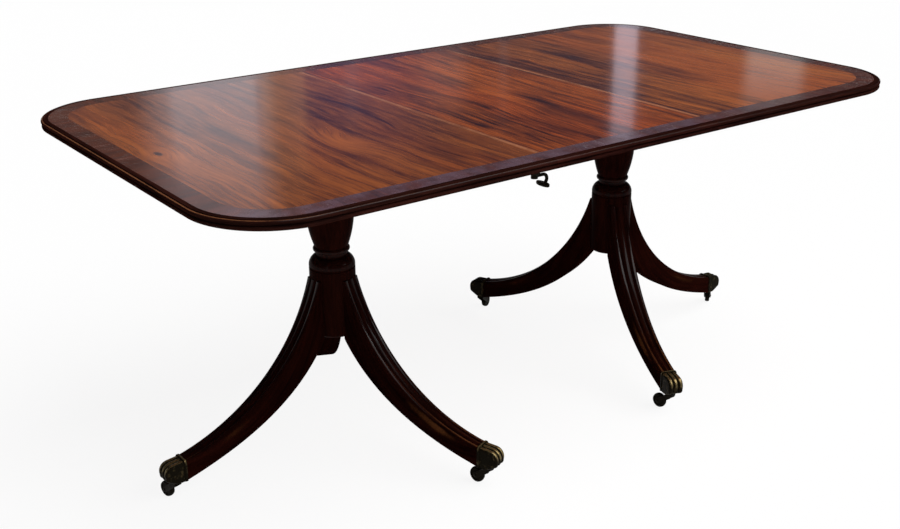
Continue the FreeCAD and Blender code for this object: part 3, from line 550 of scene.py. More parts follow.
def leg_skin(toe):
    """Sabre leg along +X with its toe at a distance: sections on planes through a sweep centre above the toe.

    Both long curves are cubic blends of radii about that centre. The upper face has three round reeds, the
    lower corners are eased, and each section stops at the hub's shoulder. Wear is highest on the crests of
    the reeds, where it grows towards the toe, and along the upper part of the sides.
    """
    p = pedestal()
    sections, side_points, middle_points = 90, 14, 20
    middle_share = 0.42
    share = np.linspace(0, 1, sections)[:, None]
    angle = np.pi * (1 + share / 2)
    upper_radii = curve_radii(toe - p.upper_start, p.toe_top, p.upper_hub_hollow, p.upper_toe_hollow)
    lower_radii = curve_radii(toe + p.lower_lead, p.toe_bottom, p.lower_hub_hollow, p.lower_toe_hollow)
    upper, lower = blend(upper_radii, share), blend(lower_radii, share)
    middle = toe + (upper + lower) / 2 * np.cos(angle)
    run = np.clip((middle - p.hub_flat) / (toe - p.hub_flat), 0, 1)
    half = (p.hub_width + (p.toe_width - p.hub_width) * run) / 2
    inner = half * middle_share
    base = upper + p.reed_depth
    ease = p.leg_ease
    turn = np.radians(np.linspace(0, 90, 6))
    flat = np.linspace(-1, 1, 6)
    wall = np.linspace(0, 1, 12)[1:-1]
    side_rise = p.reed_depth - p.side_reed_drop + 0 * half
    side_crest = 0.9 * np.sin(np.pi * np.linspace(0, 1, side_points)) ** 2
    middle_crest = 0.55 * np.sin(np.pi * np.linspace(0, 1, middle_points)) ** 4
    rub = 0.25 + 0.75 * run ** 1.5
    corner = 0.3 * rub * np.sin(2 * turn)
    side = 0.85 * bell(run, 0.66, 0.22) * bell(wall, 0.75, 0.28)
    wide = half - ease
    middle_reed = reed(inner, -inner, base, p.reed_depth + 0 * half, middle_points)
    parts = [
        (wide * flat, lower, 0.0, 0.0),
        (wide + ease * np.sin(turn), lower - ease + ease * np.cos(turn), corner, 0.0),
        (half + 0 * wall, lower - ease + (base - lower + ease) * wall, side, 0.0),
        (*reed(half, inner, base, side_rise, side_points), rub * side_crest, side_crest),
        (*middle_reed, rub * middle_crest, middle_crest),
        (*reed(-inner, -half, base, side_rise, side_points), rub * side_crest, side_crest),
        (-half + 0 * wall, base + (lower - ease - base) * wall, side[:, ::-1], 0.0),
        (-wide - ease * np.cos(turn), lower - ease + ease * np.sin(turn), corner, 0.0),
    ]
    across, radius, wear, polish = (
        np.concatenate([np.broadcast_to(part[i], (sections, part[0].shape[1])) for part in parts], axis=1)
        for i in range(4)
    )
    longest = (toe - p.hub_flat) / np.maximum(-np.cos(angle), 1e-6)
    stopped = np.minimum(radius, longest)
    points = np.stack([toe + stopped * np.cos(angle), across, p.leg_top + stopped * np.sin(angle)], axis=-1)
    mean_radius = 0.33
    grain = np.stack([across, mean_radius * (angle - np.pi) + 0 * across, radius], axis=-1)
    return points, grain, wear, polish


def collar_skin(toe):
    """Toe cap's collar: an arched outline whose size swells and shrinks over its length as a half circle.

    Wear is highest where the collar stands proudest, and grows towards its upper side.
    """
    p = pedestal()
    share = np.linspace(0, np.pi, 11)[:, None]
    reach = toe + p.collar_length / 2 * (1 - np.cos(share))
    swell = p.collar_proud * np.sin(share) ** 0.5
    half = p.toe_width / 2 + swell
    turn = np.radians(np.linspace(0, 90, 8))
    soft = p.collar_round
    wide = half - soft
    across = np.concatenate([half, wide + soft * np.cos(turn), -wide - soft * np.sin(turn), -half], axis=1)
    rise = p.toe_top + swell - soft
    low = p.toe_bottom + 0 * swell
    height = np.concatenate([low, rise + soft * np.sin(turn), rise + soft * np.cos(turn), low], axis=1)
    points = np.stack([np.broadcast_to(reach, across.shape), across, height], axis=-1)
    up = np.clip((height - p.toe_bottom) / (p.toe_top - p.toe_bottom), 0, 1)
    return points, 0.7 * np.sin(share) ** 2 * up ** 3


def lobe_outline(toe, inset):
    """Side outline of a toe cap's lobe: a leaning block with a large round nose and a lifted toe.

    The upper, front and lower front edges move in by the inset, and each round shrinks by as much.
    """
    p = pedestal()
    back = toe + p.collar_length / 2
    front = toe + p.lobe_reach
    corners = np.array([
        [back, p.toe_bottom], [back, p.toe_top - p.side_reed_drop], [front, p.toe_top - p.front_lean],
        [front - p.front_lean, p.toe_bottom + p.toe_rise],
        [toe + p.swivel_setback + p.swivel_boss, p.toe_bottom],
    ])
    ahead = np.roll(corners, -1, axis=0) - corners
    inward = np.stack([ahead[:, 1], -ahead[:, 0]], axis=-1) / np.linalg.norm(ahead, axis=1, keepdims=True)
    offset = np.sum(inward * corners, axis=1) + inset * np.array([0, 1, 1, 1, 0])
    pairs = np.stack([np.roll(inward, 1, axis=0), inward], axis=1)
    moved = np.linalg.solve(pairs, np.stack([np.roll(offset, 1), offset], axis=-1)[..., None])[..., 0]
    arris, chin, sole, least = 0.0006, 0.008, 0.006, 0.0005
    radii = (arris, arris, p.nose_radius, chin, sole)
    bends = zip(np.roll(moved, 1, axis=0), moved, np.roll(moved, -1, axis=0), radii)
    rounds = [rounded_corner(*points, max(radius - inset, least)) for *points, radius in bends]
    return np.concatenate(rounds)


def rounded_corner(before, here, after, radius):
    """Arc of a radius that touches both sides of a corner."""
    back = (before - here) / np.linalg.norm(before - here)
    ahead = (after - here) / np.linalg.norm(after - here)
    half = math.acos(float(back @ ahead)) / 2
    cut = radius / math.tan(half)
    bisector = (back + ahead) / np.linalg.norm(back + ahead)
    middle = here + bisector * (radius / math.sin(half) - radius)
    return arc_through(tuple(here + back * cut), tuple(middle), tuple(here + ahead * cut), 14)


def lobe_skin(toe, shift):
    """One lobe: its outline drawn in towards the sides as a quarter circle, so that it is round across.

    Wear is highest along the crest, where the lobe faces up and forward.
    """
    p = pedestal()
    turn = np.linspace(-1, 1, 17) * np.pi / 2
    flat = np.stack([lobe_outline(toe, p.lobe_round * (1 - math.cos(t))) for t in turn])
    across = shift + p.lobe_width / 2 * np.sin(turn)
    points = np.stack([flat[..., 0], np.broadcast_to(across[:, None], flat.shape[:2]), flat[..., 1]], axis=-1)
    rise = np.clip((flat[..., 1] - p.toe_bottom - p.toe_rise) / (p.toe_top - p.toe_bottom - p.toe_rise), 0, 1)
    return points, np.cos(turn)[:, None] ** 3 * rise ** 0.7


def wheel_skin(name):
    """Caster wheel turned about its axle: crowned tread, rim, recessed web and hub."""
    p = pedestal()
    joint = JOINTS[name]
    tread_radius, tread_half = 0.0166, 0.0056
    rim_outer, rim_inner, rim_half = 0.0158, 0.0132, 0.0059
    web_outer, web_inner, web_half = 0.0128, 0.0064, 0.0045
    hub_radius, hub_half = 0.006, p.wheel_width / 2
    axle_play = 0.00005
    bore = p.axle_radius + axle_play
    crown = arc_through((tread_radius, -tread_half), (p.wheel_radius, 0.0), (tread_radius, tread_half), 15)
    face = np.array([
        [rim_outer, rim_half], [rim_inner, rim_half], [web_outer, web_half], [web_inner, web_half],
        [hub_radius, hub_half], [bore, hub_half],
    ])
    back = face[::-1] * np.array([1, -1])
    line = np.concatenate([back, crown, face])
    turn = np.linspace(0, 2 * math.pi, 48, endpoint=False)
    axle = np.array(joint["axis"], float)
    up = np.array([0.0, 0.0, 1.0])
    side = np.cross(axle, up)
    spoke = np.cos(turn)[:, None] * up + np.sin(turn)[:, None] * side
    return np.array(joint["pos_m"]) + line[:, None, :1] * spoke[None] + line[:, None, 1:] * axle


def leg_plan(side, place):
    """Direction in degrees and toe distance of a leg, from its caster's swivel and its column."""
    swivel = JOINTS[side + "_caster_swivel_" + place]["pos_m"]
    out = swivel[0] - column_x(side)
    return math.degrees(math.atan2(swivel[1], out)), math.hypot(out, swivel[1]) - pedestal().swivel_setback


def column_x(side):
    """Place of a column along the table."""
    return column().axis_x * (-1.0 if side == "left" else 1.0)


def at_leg(points, side, place):
    """Turns a piece that lies along +X to a leg's direction and moves it to its column."""
    return turn_about_z(points, leg_plan(side, place)[0]) + np.array([column_x(side), 0, 0])


# Materials

class Tree:
    """Small helper that adds nodes to a tree and links them."""

    def __init__(self, tree):
        self.tree = tree

    def add(self, kind, inputs=None, **settings):
        """Adds a node with its settings, and with each input set to a value or linked to a socket."""
        node = self.tree.nodes.new(kind)
        for name, value in settings.items():
            setattr(node, name, value)
        for name, value in (inputs or {}).items():
            if isinstance(value, bpy.types.NodeSocket):
                self.link(value, node.inputs[name])
            else:
                node.inputs[name].default_value = value
        return node

    def link(self, source, target):
        self.tree.links.new(source, target)

    def group(self, group, inputs):
        """Places a node group and gives its outputs."""
        return self.add("ShaderNodeGroup", inputs, node_tree=group).outputs

    def place(self):
        """Place on the piece, in Object coordinates."""
        return self.add("ShaderNodeTexCoord").outputs["Object"]

    def mark(self, name):
        """One of the piece's own marks: its wear or its polish."""
        return self.add("ShaderNodeAttribute", attribute_name=name).outputs["Fac"]

    def math(self, operation, first, second=0.0, clamp=False):
        node = self.add("ShaderNodeMath", {0: first, 1: second}, operation=operation, use_clamp=clamp)
        return node.outputs[0]

    def weighted(self, *pairs):
        """Sum of values, each times its weight."""
        total = 0.0
        for value, weight in pairs:
            node = self.add("ShaderNodeMath", {0: value, 1: weight, 2: total}, operation="MULTIPLY_ADD")
            total = node.outputs[0]
        return total

    def ramp(self, value, low, high):
        """Smooth step from 0 at one value to 1 at another."""
        inputs = {"Value": value, "From Min": low, "From Max": high}
        node = self.add("ShaderNodeMapRange", inputs, clamp=True, interpolation_type="SMOOTHSTEP")
        return node.outputs["Result"]

    def mix(self, share, first, second):
        """Colour between two colours."""
        return self.add("ShaderNodeMix", {0: share, 6: first, 7: second}, data_type="RGBA").outputs[2]

    def vector(self, operation, first, second):
        return self.add("ShaderNodeVectorMath", {0: first, 1: second}, operation=operation).outputs[0]

    def split(self, vector):
        """X, Y and Z of a vector."""
        return self.add("ShaderNodeSeparateXYZ", {0: vector}).outputs

    def slid(self, vector, along_x):
        """Vector moved along X by a value."""
        return self.vector("ADD", vector, self.add("ShaderNodeCombineXYZ", {"X": along_x}).outputs[0])

    def noise(self, vector, scale, detail, roughness=0.55):
        inputs = {"Vector": vector, "Scale": scale, "Detail": detail, "Roughness": roughness}
        return self.add("ShaderNodeTexNoise", inputs).outputs["Fac"]

    def drawn_out(self, vector, across, along, scale, *settings):
        """Noise with its own number of waves per metre across the grain and along it."""
        return self.noise(self.vector("MULTIPLY", vector, (across, along, across)), scale, *settings)


SOCKET_KINDS = {type(None): "NodeSocketVector", float: "NodeSocketFloat", tuple: "NodeSocketColor"}
BLACK = (0.0, 0.0, 0.0, 1.0)


def new_group(name, inputs, outputs):
    """Node group with its sockets, whose kinds follow from their defaults: its helper, inputs and outputs."""
    group = bpy.data.node_groups.new(name, "ShaderNodeTree")
    for direction, sockets in (("INPUT", inputs), ("OUTPUT", outputs)):
        for label, default in sockets.items():
            kind = SOCKET_KINDS[type(default)]
            socket = group.interface.new_socket(label, in_out=direction, socket_type=kind)
            if default is not None:
                socket.default_value = default
    tree = Tree(group)
    return tree, tree.add("NodeGroupInput").outputs, tree.add("NodeGroupOutput").inputs


def built_once(build):
    """Makes a function give the node group of its own name, built when it is first asked for."""
    def group():
        return bpy.data.node_groups.get(build.__name__) or build(build.__name__).tree
    return group


@built_once
def timber(name):
    """Mahogany with its grain along Y.

    Two slow noises sway the grain from side to side. Noises drawn out along it give ribbons, streaks and
    fine lines, and a cloudy figure lies across them; their weighted sum picks a colour between dark and
    light. A slow noise turns some of it redder, and long veins and short pores darken it.
    """
    tree, entry, leave = new_group(
        name,
        {"Vector": None, "Light": (0.3, 0.1, 0.03, 1), "Dark": (0.07, 0.02, 0.01, 1), "Streak Scale": 1.0,
         "Balance": 0.5, "Contrast": 1.0, "Veins": 0.0},
        {"Color": BLACK, "Gloss": 0.0, "Height": 0.0},
    )
    vector, scale, dark = entry["Vector"], entry["Streak Scale"], entry["Dark"]
    slow_sway = tree.drawn_out(vector, 2.0, 0.9, 1.0, 2.0)
    short_sway = tree.drawn_out(vector, 9.0, 4.5, 1.0, 2.0)
    bent = tree.slid(vector, tree.weighted((slow_sway, 0.12), (short_sway, 0.030)))
    ribbon = tree.drawn_out(bent, 13.0, 1.0, scale, 2.0, 0.5)
    streak = tree.drawn_out(bent, 60.0, 2.4, scale, 5.0, 0.62)
    fine = tree.drawn_out(bent, 170.0, 9.0, scale, 3.0, 0.6)
    figure = tree.drawn_out(vector, 14.0, 9.0, 1.0, 4.0)
    tone = tree.weighted((ribbon, 0.18), (streak, 0.40), (fine, 0.30), (figure, 0.12))
    gain = 5.0
    spread = tree.math("MULTIPLY", tree.weighted((tone, gain), (0.5, -gain)), entry["Contrast"])
    share = tree.math("ADD", spread, entry["Balance"], clamp=True)
    plain = tree.mix(share, dark, entry["Light"])
    blush = tree.ramp(tree.drawn_out(bent, 7.0, 0.8, 1.0, 2.0), 0.42, 0.62)
    redder = tree.vector("MULTIPLY", plain, (0.92, 0.72, 0.80))
    warm = tree.mix(tree.math("MULTIPLY", blush, 0.55), plain, redder)
    vein = tree.ramp(tree.drawn_out(bent, 15.0, 1.5, scale, 4.0, 0.55), 0.52, 0.70)
    veined = tree.mix(tree.math("MULTIPLY", vein, entry["Veins"]), warm, dark)
    pore = tree.ramp(tree.drawn_out(bent, 700.0, 24.0, 1.0, 2.0, 0.5), 0.60, 0.70)
    tree.link(tree.mix(tree.math("MULTIPLY", pore, 0.35), veined, dark), leave["Color"])
    tree.link(tree.weighted((figure, 0.6), (pore, 0.4)), leave["Gloss"])
    tree.link(tree.weighted((fine, 0.3), (pore, -1.0)), leave["Height"])
    return tree


@built_once
def rubbed(name):
    """Wear: the piece's own wear mark, broken up by a blotchy noise and by fine scratches."""
    tree, entry, leave = new_group(name, {"Vector": None, "Wear": 0.0, "Amount": 1.0}, {"Mask": 0.0})
    blotch = tree.noise(entry["Vector"], 22.0, 4.0, 0.6)
    scratch = tree.noise(entry["Vector"], 260.0, 2.0, 0.5)
    marks = tree.weighted((blotch, 1.1), (scratch, 0.5), (1.0, 0.2))
    broken = tree.math("MULTIPLY", tree.math("MULTIPLY", entry["Wear"], entry["Amount"]), marks)
    tree.link(tree.ramp(broken, 0.30, 0.95), leave["Mask"])
    return tree


@built_once
def tarnish(name):
    """Aged metal: dull cloudy tarnish with fine pits, and clean metal where it is rubbed."""
    tree, entry, leave = new_group(
        name,
        {"Vector": None, "Clean": (0.4, 0.33, 0.18, 1), "Tarnish": (0.03, 0.025, 0.015, 1), "Age": 0.5,
         "Rubbed": 0.0},
        {"Color": BLACK, "Roughness": 0.0, "Metallic": 0.0, "Height": 0.0},
    )
    cloud = tree.noise(entry["Vector"], 90.0, 4.0, 0.6)
    pits = tree.noise(entry["Vector"], 700.0, 2.0, 0.5)
    pitted = tree.ramp(pits, 0.60, 0.72)
    dark = tree.weighted((cloud, 1.2), (0.5, -1.2), (entry["Age"], 1.0), (pitted, 0.3))
    share = tree.math("SUBTRACT", dark, entry["Rubbed"], clamp=True)
    tree.link(tree.mix(share, entry["Clean"], entry["Tarnish"]), leave["Color"])
    tree.link(tree.weighted((share, 0.18), (1.0, 0.32)), leave["Roughness"])
    tree.link(tree.math("SUBTRACT", 1.0, share), leave["Metallic"])
    tree.link(tree.math("SUBTRACT", cloud, pits), leave["Height"])
    return tree


def bent_by(tree, vector, figures, balance):
    """Grain bent round knots and curls, and how pale it is there.

    Each figure is a bell-shaped hill over the board with a place, two half widths, and how much it spreads
    the grain, pushes it sideways and lightens it.
    """
    x, y = tree.split(vector)[:2]
    moves, lifts = [], [(balance, 1.0)]
    for middle_x, middle_y, half_x, half_y, spread, push, lift in figures:
        out = tree.math("SUBTRACT", x, middle_x)
        over = tree.math("MULTIPLY", out, 1 / half_x)
        along = tree.math("MULTIPLY", tree.math("SUBTRACT", y, middle_y), 1 / half_y)
        square = tree.math("ADD", tree.math("MULTIPLY", over, over), tree.math("MULTIPLY", along, along))
        hill = tree.math("EXPONENT", tree.math("MULTIPLY", square, -1.0))
        moves += [(tree.math("MULTIPLY", out, hill), -spread), (hill, push)]
        lifts.append((hill, lift))
    return tree.slid(vector, tree.weighted(*moves)), tree.weighted(*lifts)


def near_seam(tree, vector, half_width):
    """Mask of a thin line along both sides of a seam, where the polish is worn off the arris."""
    x = tree.math("ABSOLUTE", tree.split(vector)[0])
    away = tree.math("ABSOLUTE", tree.math("SUBTRACT", x, top().leaf_length / 2))
    line = tree.math("SUBTRACT", 1.0, tree.ramp(away, half_width * 0.1, half_width))
    patches = tree.ramp(tree.drawn_out(vector, 1.0, 9.0, 1.0, 3.0), 0.35, 0.62)
    return tree.math("MULTIPLY", line, tree.weighted((patches, 0.65), (1.0, 0.30)))


def near_bloom(tree):
    """Mask of a painted reflection: a cloudy bluish sheen on the near side of the top, which thins out to the
    right.
    """
    place = tree.place()
    along, out = tree.split(place)[:2]
    side = tree.math("MULTIPLY", tree.ramp(along, 0.70, 0.05), tree.ramp(out, -0.34, -0.47))
    cloud = tree.ramp(tree.noise(place, 24.0, 4.0), 0.3, 0.7)
    return tree.math("MULTIPLY", side, tree.weighted((cloud, 0.60), (1.0, 0.26)))


def new_material(name):
    """Material with the helper of its tree and its shader."""
    material = bpy.data.materials.new(name)
    material.use_nodes = True
    return material, Tree(material.node_tree), material.node_tree.nodes["Principled BSDF"]


def wood(name, light, dark, roughness, specular=0.5, on_board=False, bump=0.00003, streaks=1.0, balance=0.5,
         contrast=1.0, veins=0.0, shift=(0.0, 0.0, 0.0), figures=(), seam=0.0, worn=None, lacquer=0.0,
         painted_sheen=None):
    """Polished timber: the timber group's colour, with gloss and relief from the same grain.

    The grain runs along Y of the board, or along the piece's own grain, and bends round its figures. Bare
    wood of the worn colour shows along a seam, or where the piece's wear mark says. Lacquer coats it where
    its polish mark says, and the sheen colour given last is a painted reflection, mixed in on the near side.
    """
    material, tree, shader = new_material(name)
    if on_board:
        place = tree.place()
    else:
        place = tree.add("ShaderNodeAttribute", attribute_name="grain").outputs["Vector"]
    bent, tone = bent_by(tree, place, figures, balance) if figures else (place, balance)
    moved = tree.add("ShaderNodeMapping", {"Vector": bent, "Location": shift}).outputs[0]
    grain = tree.group(timber(), {
        "Vector": moved, "Light": (*light, 1), "Dark": (*dark, 1), "Streak Scale": streaks, "Balance": tone,
        "Contrast": contrast, "Veins": veins,
    })
    shade = grain["Color"]
    if seam:
        shade = tree.mix(near_seam(tree, place, seam), shade, (*worn, 1))
    elif worn:
        mask = tree.group(rubbed(), {"Vector": place, "Wear": tree.mark("wear")})["Mask"]
        shade = tree.mix(mask, shade, (*worn, 1))
    # Painted reflection: a pale bluish sheen mixed into the colour on the near side of the top
    if painted_sheen:
        shade = tree.mix(near_bloom(tree), shade, (*painted_sheen, 1))
    if lacquer:
        coat = tree.math("MULTIPLY", tree.mark("polish"), lacquer, clamp=True)
        tree.link(coat, shader.inputs["Coat Weight"])
        shader.inputs["Coat Roughness"].default_value = 0.12
    rough = tree.weighted((grain["Gloss"], roughness[1] - roughness[0]), (1.0, roughness[0]))
    relief = tree.add("ShaderNodeBump", {"Height": grain["Height"], "Distance": bump, "Strength": 1.0})
    tree.link(shade, shader.inputs["Base Color"])
    tree.link(rough, shader.inputs["Roughness"])
    tree.link(relief.outputs[0], shader.inputs["Normal"])
    shader.inputs["Specular IOR Level"].default_value = specular
    return material


def metal(name, clean, darker, age, rub=0.0):
    """Aged metal: clean where its wear mark says that it is rubbed, and dull paint-like tarnish elsewhere."""
    material, tree, shader = new_material(name)
    shader.inputs["Specular IOR Level"].default_value = 0.02
    place = tree.place()
    mask = tree.group(rubbed(), {"Vector": place, "Wear": tree.mark("wear"), "Amount": rub})["Mask"]
    skin = tree.group(tarnish(), {
        "Vector": place, "Clean": (*clean, 1), "Tarnish": (*darker, 1), "Age": age, "Rubbed": mask,
    })
    relief = tree.add("ShaderNodeBump", {"Height": skin["Height"], "Distance": 0.0001, "Strength": 0.5})
    tree.link(skin["Color"], shader.inputs["Base Color"])
    tree.link(skin["Roughness"], shader.inputs["Roughness"])
    tree.link(skin["Metallic"], shader.inputs["Metallic"])
    tree.link(relief.outputs[0], shader.inputs["Normal"])
    return material


# Operators

# Figure of the boards: place, half widths, spread of the grain, push across it and lift of its tone
LEFT_FIGURE = (
    (-0.811, -0.012, 0.034, 0.060, 0.85, 0.0, 0.22),
    (-0.811, -0.012, 0.006, 0.013, 0.0, 0.0, -1.6),
    (-0.84, 0.10, 0.13, 0.42, 0.0, 0.0, 0.16),
    (-0.67, 0.16, 0.035, 0.25, 0.0, 0.0, -0.22),
    (-0.485, -0.15, 0.04, 0.10, 0.0, 0.035, 0.42),
    (-0.32, 0.05, 0.10, 0.45, 0.0, 0.0, -0.20),
)
LEAF_FIGURE = (
    (0.031, -0.308, 0.028, 0.09, 0.7, 0.0, 0.0),
    (-0.18, 0.05, 0.03, 0.30, 0.0, 0.0, -0.22),
    (-0.08, 0.36, 0.14, 0.20, 0.0, 0.0, 0.25),
    (0.06, 0.0, 0.12, 0.5, 0.0, 0.0, 0.12),
    (-0.13, -0.32, 0.06, 0.16, 0.0, 0.0, -0.16),
)
RIGHT_FIGURE = (
    (0.43, 0.17, 0.022, 0.14, 0.0, 0.0, -0.55),
    (0.68, -0.10, 0.20, 0.55, 0.0, 0.0, 0.58),
    (0.48, -0.38, 0.16, 0.16, 0.0, 0.0, 0.38),
    (0.30, 0.05, 0.09, 0.45, 0.0, 0.0, -0.12),
)


class TABLE_OT_boards(bpy.types.Operator):
    """Finish the boards of the two ends and the leaf"""

    bl_idname = "table.boards"
    bl_label = "Boards"

    def execute(self, context):
        f = finish()
        shared = {"roughness": (0.07, 0.16), "on_board": True, "bump": 0.000008, "seam": 0.0075,
                  "worn": f.seam_worn}
        left = wood("left_top_wood", f.end_light, f.end_dark, balance=0.42, contrast=0.72, veins=0.10,
                    figures=LEFT_FIGURE, **shared)
        right = wood("right_top_wood", f.end_light, f.end_dark, balance=0.42, contrast=1.0, veins=0.36,
                     shift=(1.7, 0.6, 0.0), figures=RIGHT_FIGURE, **shared)
        leaf = wood("leaf_top_wood", f.leaf_light, f.leaf_dark, balance=0.48, contrast=1.05, veins=0.80,
                    shift=(4.1, 0.3, 0.0), figures=LEAF_FIGURE, **shared)
        dress("left_top_board", left)
        dress("right_top_board", right)
        dress("leaf_board", leaf)
        return {"FINISHED"}


class TABLE_OT_crossbands(bpy.types.Operator):
    """Lay the dark crossbands along the outer edges"""

    bl_idname = "table.crossbands"
    bl_label = "Crossbands"

    def execute(self, context):
        f = finish()
        # The crossband's colour takes a painted reflection: a pale bluish sheen on its near side
        material = wood("crossband_wood", f.band_light, f.band_dark, roughness=(0.10, 0.20), streaks=1.5,
                        balance=0.42, contrast=0.8, painted_sheen=f.band_bloom)
        shift = np.array([2.3, 0.7, 0.0])
        top_strips("crossband", band_profile(), top().band_width, True, material, shift)
        return {"FINISHED"}


class TABLE_OT_edges(bpy.types.Operator):
    """Run the reeded moulding round the edge"""

    bl_idname = "table.edges"
    bl_label = "Edge mouldings"

    def execute(self, context):
        f = finish()
        material = wood("edge_wood", f.edge_light, f.edge_dark, roughness=(0.16, 0.28), specular=0.0,
                        worn=f.worn, lacquer=0.7)
        shift = np.array([0.6, 1.9, 0.0])
        profile, wear, polish = edge_profile()
        top_strips("edge_moulding", profile, top().moulding_width, False, material, shift,
                   wear, polish)
        return {"FINISHED"}


class TABLE_OT_columns(bpy.types.Operator):
    """Turn the two columns"""

    bl_idname = "table.columns"
    bl_label = "Columns"

    def execute(self, context):
        f = finish()
        material = wood("column_wood", f.pedestal_light, f.pedestal_dark, roughness=(0.24, 0.36),
                        specular=0.002, worn=f.pedestal_worn, lacquer=0.35)
        profile, wear = column_profile()
        points = revolved(profile, sides=96)
        grain = points[..., [0, 2, 1]]
        for side in SIDES:
            placed = points + np.array([column_x(side), 0, 0])
            node = side + "_column"
            skin = tube(placed, grain + column_x(side), wear[:, None], wear[:, None])
            make_piece(node + "_turned", [skin], material, side + "_end", [node],
                       sharp=35.0)
        return {"FINISHED"}


class TABLE_OT_legs(bpy.types.Operator):
    """Carve the reeded sabre legs"""

    bl_idname = "table.legs"
    bl_label = "Legs"

    def execute(self, context):
        f = finish()
        material = wood("leg_wood", f.pedestal_light, f.pedestal_dark, roughness=(0.24, 0.36), specular=0.0,
                        worn=f.pedestal_worn, lacquer=0.35)
        grain_step = 0.37
        for index, (side, place) in enumerate(LEGS):
            points, grain, wear, polish = leg_skin(leg_plan(side, place)[1])
            rub = 1.0 if place == "near" else 0.6
            skin = tube(at_leg(points, side, place), grain + grain_step * index, rub * wear, polish)
            node = side + "_leg_" + place
            make_piece(node + "_carved", [skin], material, side + "_end", [node],
                       sharp=50.0)
        return {"FINISHED"}


class TABLE_OT_toe_caps(bpy.types.Operator):
    """Cast the brass toe caps"""

    bl_idname = "table.toe_caps"
    bl_label = "Toe caps"

    def execute(self, context):
        f = finish()
        material = metal("cap_brass", f.brass, f.tarnish, 1.05, rub=1.0)
        for side, place in LEGS:
            toe = leg_plan(side, place)[1]
            # Painted shade: the caps on the far legs and the right end, turned away from the camera, keep
            # little clean brass, so they render nearly black
            darker = place == "far" or (side, place) == ("right", "end")
            rub = 0.12 if darker else 1.0
            skins = [collar_skin(toe)] + [lobe_skin(toe, i * pedestal().lobe_pitch) for i in (-1, 0, 1)]
            tubes = []
            for points, wear in skins:
                placed = at_leg(points, side, place)
                tubes.append(tube(placed, placed, rub * wear))
            node = side + "_toe_cap_" + place
            make_piece(node + "_cast", tubes, material, side + "_end", [node])
        return {"FINISHED"}


class TABLE_OT_casters(bpy.types.Operator):
    """Finish the forks and axles and turn the wheels"""

    bl_idname = "table.casters"
    bl_label = "Casters"

    def execute(self, context):
        f = finish()
        fork = metal("caster_brass", f.black_brass, f.tarnish, 0.8)
        rim = metal("wheel_brass", f.black_brass, f.tarnish, 0.95)
        for side, place in LEGS:
            dress(side + "_caster_fork_" + place, fork)
            dress(side + "_caster_axle_" + place, fork)
            points = wheel_skin(side + "_wheel_roll_" + place)
            node = side + "_caster_wheel_" + place
            make_piece(node + "_turned", [tube(points, points)], rim, side + "_wheel_" + place, [node])
        return {"FINISHED"}


class TABLE_OT_catches(bpy.types.Operator):
    """Finish the catches and their strike plates"""

    bl_idname = "table.catches"
    bl_label = "Catches"

    def execute(self, context):
        f = finish()
        material = metal("catch_brass", f.black_brass, f.tarnish, 0.8)
        for side in SIDES:
            for piece in ("catch_case", "catch_cam", "catch_lever"):
                dress(side + "_" + piece, material)
        dress("leaf_strike_plates", material)
        return {"FINISHED"}


class TABLE_OT_underframe(bpy.types.Operator):
    """Finish the bearers, blocks, dowels, plates and screws"""

    bl_idname = "table.underframe"
    bl_label = "Underframe"

    def execute(self, context):
        f = finish()
        rail = wood("underframe_wood", f.under_light, f.under_dark, roughness=(0.40, 0.55), specular=0.04,
                    on_board=True)
        peg = wood("dowel_wood", f.dowel_light, f.dowel_dark, roughness=(0.45, 0.6), specular=0.2,
                   on_board=True, contrast=0.6)
        iron = metal("black_iron", f.iron, f.tarnish, 0.5)
        for side in SIDES:
            dress(side + "_bearers", rail)
            dress(side + "_block", rail)
            dress(side + "_spider_plate", iron)
            dress(side + "_screws", iron)
        dress("leaf_dowels", peg)
        dress("right_dowels", peg)
        return {"FINISHED"}


# Stage

def area_light(name, place, aim, size, watts):
    """Rectangular lamp at a place, turned to face a point, out of the camera's own sight."""
    data = bpy.data.lights.new(name, "AREA")
    data.shape = "RECTANGLE"
    data.size, data.size_y = size
    data.energy = watts
    lamp = add_object(name, data)
    lamp.location = place
    lamp.rotation_euler = (Vector(aim) - Vector(place)).to_track_quat("-Z", "Y").to_euler()
    lamp.visible_camera = False
    return lamp


def sun_light(name, toward, spread, strength):
    """Broad sun in a direction from the table, with its spread in degrees."""
    data = bpy.data.lights.new(name, "SUN")
    data.angle = math.radians(spread)
    data.energy = strength
    lamp = add_object(name, data)
    lamp.rotation_euler = Vector(toward).to_track_quat("Z", "Y").to_euler()


def window_light(name, across, heights, radiance, soft, shade, distance):
    """Upright window on a far wall square to the view, given by its span across the view and its heights.

    Soft gives the shares of its width and height over which it fades: left, right, lower and upper side.
    """
    yaw = bpy.context.scene.table_stage.camera_yaw
    ahead = Vector((math.sin(yaw), math.cos(yaw), 0))
    right = Vector((math.cos(yaw), -math.sin(yaw), 0))
    wide, tall = across[1] - across[0], heights[1] - heights[0]
    place = ahead * distance + right * (across[0] + across[1]) / 2
    place.z = (heights[0] + heights[1]) / 2
    lamp = area_light(name, place, place - ahead, (wide, tall), radiance * math.pi * wide * tall)
    lamp.data.color = shade
    lamp.data.use_nodes = True
    tree = Tree(lamp.data.node_tree)
    over, up = tree.split(tree.add("ShaderNodeNewGeometry").outputs["Parametric"])[:2]
    fade = 1.0
    for value, near, far in ((over, soft[1], soft[0]), (up, soft[2], soft[3])):
        fade = tree.math("MULTIPLY", fade, tree.ramp(value, 0.0, near))
        fade = tree.math("MULTIPLY", fade, tree.ramp(tree.math("SUBTRACT", 1.0, value), 0.0, far))
    tree.link(fade, lamp.data.node_tree.nodes["Emission"].inputs["Strength"])


# Each window stands a little behind the one before it, because lamps in one plane would hide each other
WINDOW_DISTANCE, WINDOW_STEP = 6.0, 0.03
